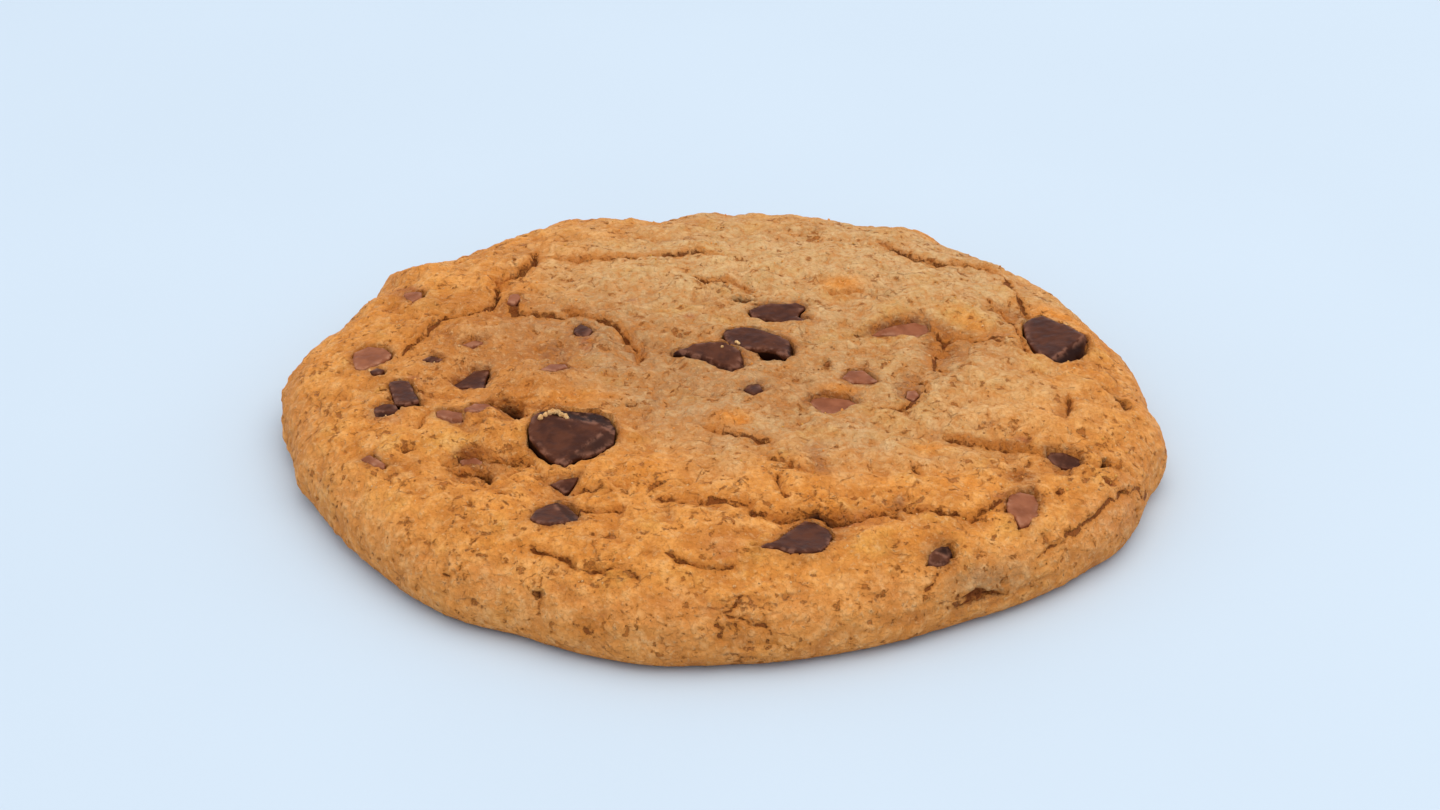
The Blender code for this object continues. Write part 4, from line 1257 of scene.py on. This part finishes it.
def chocolate_material(name, colours, rough):
    """Chocolate that is a little uneven, with edges paler from wear and painted highlight, painted shade on
    its sides and on the facets beyond each break, and a dull bloom in places.
    """
    body, light, side, bloom = colours
    made = Finish(name)
    edge = made.stored("edge")
    low = made.stored("side")
    facet = made.stored("facet")
    cloud = made.noise(2.0, 3.0, 0.6)
    dust = made.noise(0.5, 3.0, 0.62)
    colour = made.mix(made.steps(cloud, 0.35, 0.65), body, light)
    # Painted shade on the facets beyond each break
    colour = made.mix(made.times(facet, 0.8), colour, side)
    # Paler rims and ridges, for wear and painted highlight
    wear_and_highlight = made.times(edge, made.steps(made.noise(1.1, 3.0, 0.6), 0.44, 0.62))
    colour = made.mix(made.times(wear_and_highlight, 0.55), colour, bloom)
    colour = made.mix(made.steps(dust, 0.68, 0.80, 0, 0.35), colour, bloom)
    # Painted shade on the sides below the top
    colour = made.mix(made.steps(low, 0.05, 0.55, 0, 0.9), colour, side)
    normal = made.bump(made.noise(1.1, 3.0, 0.5), 0.08)
    normal = made.bump(dust, 0.03, normal)
    return made.finished(colour, made.steps(cloud, 0.3, 0.7, rough - 0.05, rough + 0.12), 0.10, normal)


BOX_MARGIN = 0.015


def fit_to_box(points):
    """Scales points in plan millimetres so that they are as wide and as deep as the CAD box."""
    low = np.array(CAD_BOX[0]) / MM + MIDDLE + BOX_MARGIN
    high = np.array(CAD_BOX[1]) / MM + MIDDLE - BOX_MARGIN
    for axis in (0, 1):
        share = (points[:, axis] - points[:, axis].min()) / np.ptp(points[:, axis])
        points[:, axis] = low[axis] + share * (high[axis] - low[axis])
    points[:, 2] = np.clip(points[:, 2], BOX_MARGIN, None)


def vertex_points(mesh):
    points = np.zeros(len(mesh.vertices) * 3)
    mesh.vertices.foreach_get("co", points)
    return points.reshape(-1, 3)


def vertex_normals(mesh):
    normals = np.zeros(len(mesh.vertices) * 3, np.float32)
    mesh.vertex_normals.foreach_get("vector", normals)
    return normals.reshape(-1, 3)


def modified(holder):
    """The mesh that an object's modifiers make. The object and its own mesh are removed."""
    mesh = holder.data
    graph = bpy.context.evaluated_depsgraph_get()
    made = bpy.data.meshes.new_from_object(holder.evaluated_get(graph))
    bpy.data.objects.remove(holder, do_unlink=True)
    bpy.data.meshes.remove(mesh)
    return made


def thinned(mesh, share):
    """The mesh with this share of its triangles, spent where the surface bends most."""
    holder = linked("holder", mesh)
    holder.modifiers.new("fewer", "DECIMATE").ratio = share
    return modified(holder)


def build_dough(material):
    built, directions = cube_sphere(DIVISIONS)
    dough = Dough(directions)
    for vertex, point in zip(built.verts, dough.points):
        vertex.co = point
    mesh = mesh_of("dough_dense", built)
    rough = ROUGHENING * grain(dough.points, 0.9, 15) + ROUGHENING / 2 * grain(dough.points, 0.5, 16)
    rough *= np.clip(dough.points[:, 2], 0, 1)
    points = dough.points + vertex_normals(mesh) * rough[:, None]
    fit_to_box(points)
    mesh.vertices.foreach_set("co", points.ravel())
    mesh.update()
    paint(mesh, "bake", dough.colours())
    # Stored for the shader's painted shade: cracks, pits, and the crevices and named holes
    steepness = np.clip(np.cos(dough.flare), STEEP_SHARE, 1)
    store(mesh, "gap", np.where(dough.on_top, np.clip(dough.gap / steepness, 0, FAR_GAP), FAR_GAP))
    store(mesh, "pit", dough.pit * ~dough.on_foot)
    store(mesh, "crevice", np.maximum(0.7 * dough.crevice, 0.8 * dough.painted_hole_shade))
    store(mesh, "browned", dough.browned)
    mesh = thinned(mesh, KEPT_SHARE)
    mesh.name = "dough_fine"
    return place_piece(to_object("dough_fine", mesh, material), "dough", "dough")


FINEST_VOXEL = 0.09
COARSEST_VOXEL = 0.16
VOXELS_ACROSS = 50
SOFTENING = 2
DENTS = 0.05
DENT_SIZE = 2.0
RIPPLES = 0.04
RIPPLE_SIZE = 0.8
EDGE_DROP = 0.08
EDGE_SOFTNESS = 0.2
EDGE_WIDTH = 0.4
RIDGE_WIDTH = 0.25
FACET_EDGE = 0.3


def add_prism(built, corners, plane, depth):
    """Adds a solid with this outline, its top on the plane and its bottom level."""
    bottom = level_at(plane, *np.mean(corners, axis=0)) - depth
    upper = [built.verts.new((x, y, level_at(plane, x, y))) for x, y in corners]
    lower = [built.verts.new((x, y, bottom)) for x, y in corners]
    built.faces.new(upper)
    built.faces.new(lower[::-1])
    for k in range(len(corners)):
        after = (k + 1) % len(corners)
        built.faces.new((upper[k], lower[k], lower[after], upper[after]))
    bmesh.ops.recalc_face_normals(built, faces=built.faces)


def evenly_meshed(name, built, voxel):
    """A closed bmesh, which it frees, remeshed evenly with its edges a little softened."""
    holder = linked(name + "_holder", mesh_of(name + "_rough", built))
    remesh = holder.modifiers.new("remesh", "REMESH")
    remesh.mode = "VOXEL"
    remesh.voxel_size = voxel
    smooth = holder.modifiers.new("smooth", "SMOOTH")
    smooth.factor = 0.5
    smooth.iterations = SOFTENING
    mesh = modified(holder)
    mesh.name = name
    return mesh


def chocolate_mesh(name, piece):
    """One piece of chocolate in plan millimetres, with its facets and dents, and the stored wear, painted
    highlight and painted shade.
    """
    _, corners, plane, depth, _ = piece
    built = bmesh.new()
    add_prism(built, corners, plane, depth)
    voxel = min(max(np.ptp(corners, axis=0).max() / VOXELS_ACROSS, FINEST_VOXEL), COARSEST_VOXEL)
    mesh = evenly_meshed(name + "_fine", built, voxel)
    points = vertex_points(mesh)
    below = np.clip(level_at(plane, points[:, 0], points[:, 1]) - points[:, 2], 0, None)
    away, _ = outside_of(points[:, 0], points[:, 1], corners)
    inner = np.clip(-away, 0, None)

    drop = EDGE_DROP * np.exp(-inner / EDGE_SOFTNESS)
    ridge = np.zeros(len(points))
    facet_part = np.zeros(len(points))
    for facet in FACETS:
        if facet.node == name:
            (x0, y0), (x1, y1) = as_seen(np.array([facet.start, facet.end]), plane)
            length = math.hypot(x1 - x0, y1 - y0)
            beyond = ((points[:, 0] - x0) * (y1 - y0) - (points[:, 1] - y0) * (x1 - x0)) / length
            drop = np.maximum(drop, facet.slope * np.clip(beyond, 0, None))
            ridge = np.maximum(ridge, bell(beyond, RIDGE_WIDTH))
            facet_part = np.maximum(facet_part, facet.shade * smooth_step(beyond, 0, FACET_EDGE))
    points[:, 2] -= drop * np.clip(1 - below / depth, 0, 1)

    rise = DENTS * grain(points, DENT_SIZE, 61) + RIPPLES * grain(points, RIPPLE_SIZE, 62)
    mesh.vertices.foreach_set("co", (points + vertex_normals(mesh) * rise[:, None]).ravel())
    mesh.update()
    # Paler rims and ridges for wear and painted highlight, and painted shade on the sides and on the facets
    # beyond each break
    rim = bell(inner, EDGE_WIDTH)
    store(mesh, "edge", np.maximum(rim, ridge) * (below < 0.3))
    store(mesh, "side", smooth_step(below, 0.25, 0.7))
    store(mesh, "facet", facet_part)
    return mesh


def build_chocolate(materials):
    for name, piece in PIECES.items():
        mesh = chocolate_mesh(name, piece)
        fine = to_object(name + "_fine", mesh, materials[piece.kind])
        place_piece(fine, piece.kind + "_chocolate", name)


def joined(name, meshes, material):
    """One object from several meshes in plan millimetres."""
    built = bmesh.new()
    for mesh in meshes:
        built.from_mesh(mesh)
    whole = mesh_of(name, built)
    for mesh in meshes:
        bpy.data.meshes.remove(mesh)
    return to_object(name, whole, material)


def build_chips(materials):
    for kind in ("dark", "milk"):
        meshes = [chocolate_mesh("chip", piece) for piece in CHIP_PIECES if piece.kind == kind]
        place_piece(joined("chips_" + kind, meshes, materials[kind]), kind + "_chocolate")


# Loose crumb
GRAIN_COUNT = 420
GRAIN_SIZES = (0.07, 0.15)

# Pale crumbs that lie on the chocolate: the path that each covers and its thickness
CRUMBS = rows(
    Crumb,
    ("chunk_large", 0.27, ((-18.7, -12.3), (-18, -11.5), (-17.3, -11.2), (-16.6, -11.6), (-15.8, -12.4))),
    ("chunk_middle", 0.22, ((2.1, 3.4), (2.4, 3.1))),
    ("chunk_back", 0.20, ((4, 13.1), (4.4, 13.4))),
    ("chunk_middle_left", 0.15, ((0.6, 2.6), (0.8, 2.5))),
)
CRUMB_STEP = 0.22


def add_grain(built, draw, size, subdivisions, unevenness, matrix):
    """Adds one uneven ball, placed by a matrix, and returns how many points it has."""
    made = bmesh.ops.create_icosphere(built, subdivisions=subdivisions, radius=size)["verts"]
    for vertex in made:
        vertex.co *= draw.uniform(*unevenness)
    bmesh.ops.transform(built, matrix=matrix, verts=made)
    return len(made)


def build_grains(dough, material):
    """Seeded grains of baked crumb that lie on the dough."""
    draw = np.random.default_rng(SEED + 2)
    mesh = dough.data
    points = vertex_points(mesh) / MM + MIDDLE
    normals = vertex_normals(mesh)
    open_top = np.nonzero((normals[:, 2] > 0.7) & (points[:, 2] > 7))[0]
    built = bmesh.new()
    colours = []
    for index in draw.choice(open_top, size=GRAIN_COUNT, replace=False):
        size = draw.uniform(*GRAIN_SIZES)
        stretch = Matrix.Diagonal((*draw.uniform(0.6, 1.3, 3), 1))
        turn = Matrix.Rotation(draw.uniform(0, 6), 4, Vector(draw.normal(size=3)))
        place = Vector(points[index]) + Vector(normals[index].astype(float)) * size * 0.3
        count = add_grain(built, draw, size, 2, (0.8, 1.15), Matrix.Translation(place) @ turn @ stretch)
        colours.extend([(LIGHT, GOLDEN, YELLOW)[draw.choice(3)]] * count)
    for crumb in CRUMBS:
        plane = PIECES[crumb.node].plane
        path = as_seen(np.array(crumb.points), plane)
        lengths = np.concatenate([[0], np.cumsum(np.hypot(*np.diff(path, axis=0).T))])
        for along in np.arange(0, lengths[-1], CRUMB_STEP):
            x = np.interp(along, lengths, path[:, 0]) + draw.normal(0, 0.08)
            y = np.interp(along, lengths, path[:, 1]) + draw.normal(0, 0.08)
            size = crumb.width * draw.uniform(0.7, 1.15)
            place = Vector((x, y, level_at(plane, x, y) + size * 0.2))
            count = add_grain(built, draw, size, 3, (0.85, 1.1), Matrix.Translation(place))
            colours.extend([LIGHT] * count)
    whole = mesh_of("grains", built)
    paint(whole, "bake", np.array(colours))
    store(whole, "gap", np.full(len(colours), FAR_GAP))
    for name in ("pit", "crevice", "browned"):
        store(whole, name, np.zeros(len(colours)))
    place_piece(to_object("grains", whole, material), "dough")


# Light, floor and camera
FLOOR_COLOUR = linear(206, 217, 226)
FLOOR_HALF = 3.0
WORLD_COLOUR = linear(228, 240, 254)
WORLD_STRENGTH = 1.04
LAMP_PLACE = (0.14, -0.05, 0.76)
LAMP_SIZE = (1.0, 0.9)
LAMP_POWER = 3.1
LAMP_COLOUR = linear(255, 242, 224)


def build_stage():
    bpy.ops.mesh.primitive_grid_add(x_subdivisions=8, y_subdivisions=8, size=2 * FLOOR_HALF)
    floor = bpy.context.object
    floor.name = "floor"
    made = Finish("pale_floor")
    paper = made.mix(made.steps(made.noise(60.0, 2.0, 0.5), 0.3, 0.7), FLOOR_COLOUR * 0.985, FLOOR_COLOUR)
    floor.data.materials.append(made.finished(paper, 0.9, 0.1))


def build_light():
    world = bpy.data.worlds.new("studio")
    world.use_nodes = True
    back = world.node_tree.nodes["Background"]
    back.inputs["Color"].default_value = (*WORLD_COLOUR, 1)
    back.inputs["Strength"].default_value = WORLD_STRENGTH
    bpy.context.scene.world = world
    lamp = bpy.data.lights.new("overhead", "AREA")
    lamp.shape = "RECTANGLE"
    lamp.size, lamp.size_y = LAMP_SIZE
    lamp.energy = LAMP_POWER
    lamp.color = LAMP_COLOUR
    holder = linked("overhead", lamp)
    holder.location = LAMP_PLACE
    holder.rotation_euler = Vector(LAMP_PLACE).to_track_quat("Z", "Y").to_euler()


def build_camera():
    camera = bpy.data.cameras.new("camera")
    camera.lens = LENS
    camera.sensor_width = 36
    holder = linked("camera", camera)
    holder.location = (Vector(CAMERA_PLACE) - Vector(MIDDLE)) * MM
    holder.rotation_euler = (math.radians(CAMERA_TILT), 0, 0)
    camera.clip_start = 0.01
    camera.clip_end = 20
    bpy.context.scene.camera = holder


def main():
    bpy.context.scene.view_settings.view_transform = "Standard"
    materials = {
        "dark": chocolate_material("dark_chocolate", DARK_COLOURS, 0.40),
        "milk": chocolate_material("milk_chocolate", MILK_COLOURS, 0.50),
    }
    baked = dough_material()
    build_grains(build_dough(baked), baked)
    build_chocolate(materials)
    build_chips(materials)
    build_stage()
    build_light()
    build_camera()


main()
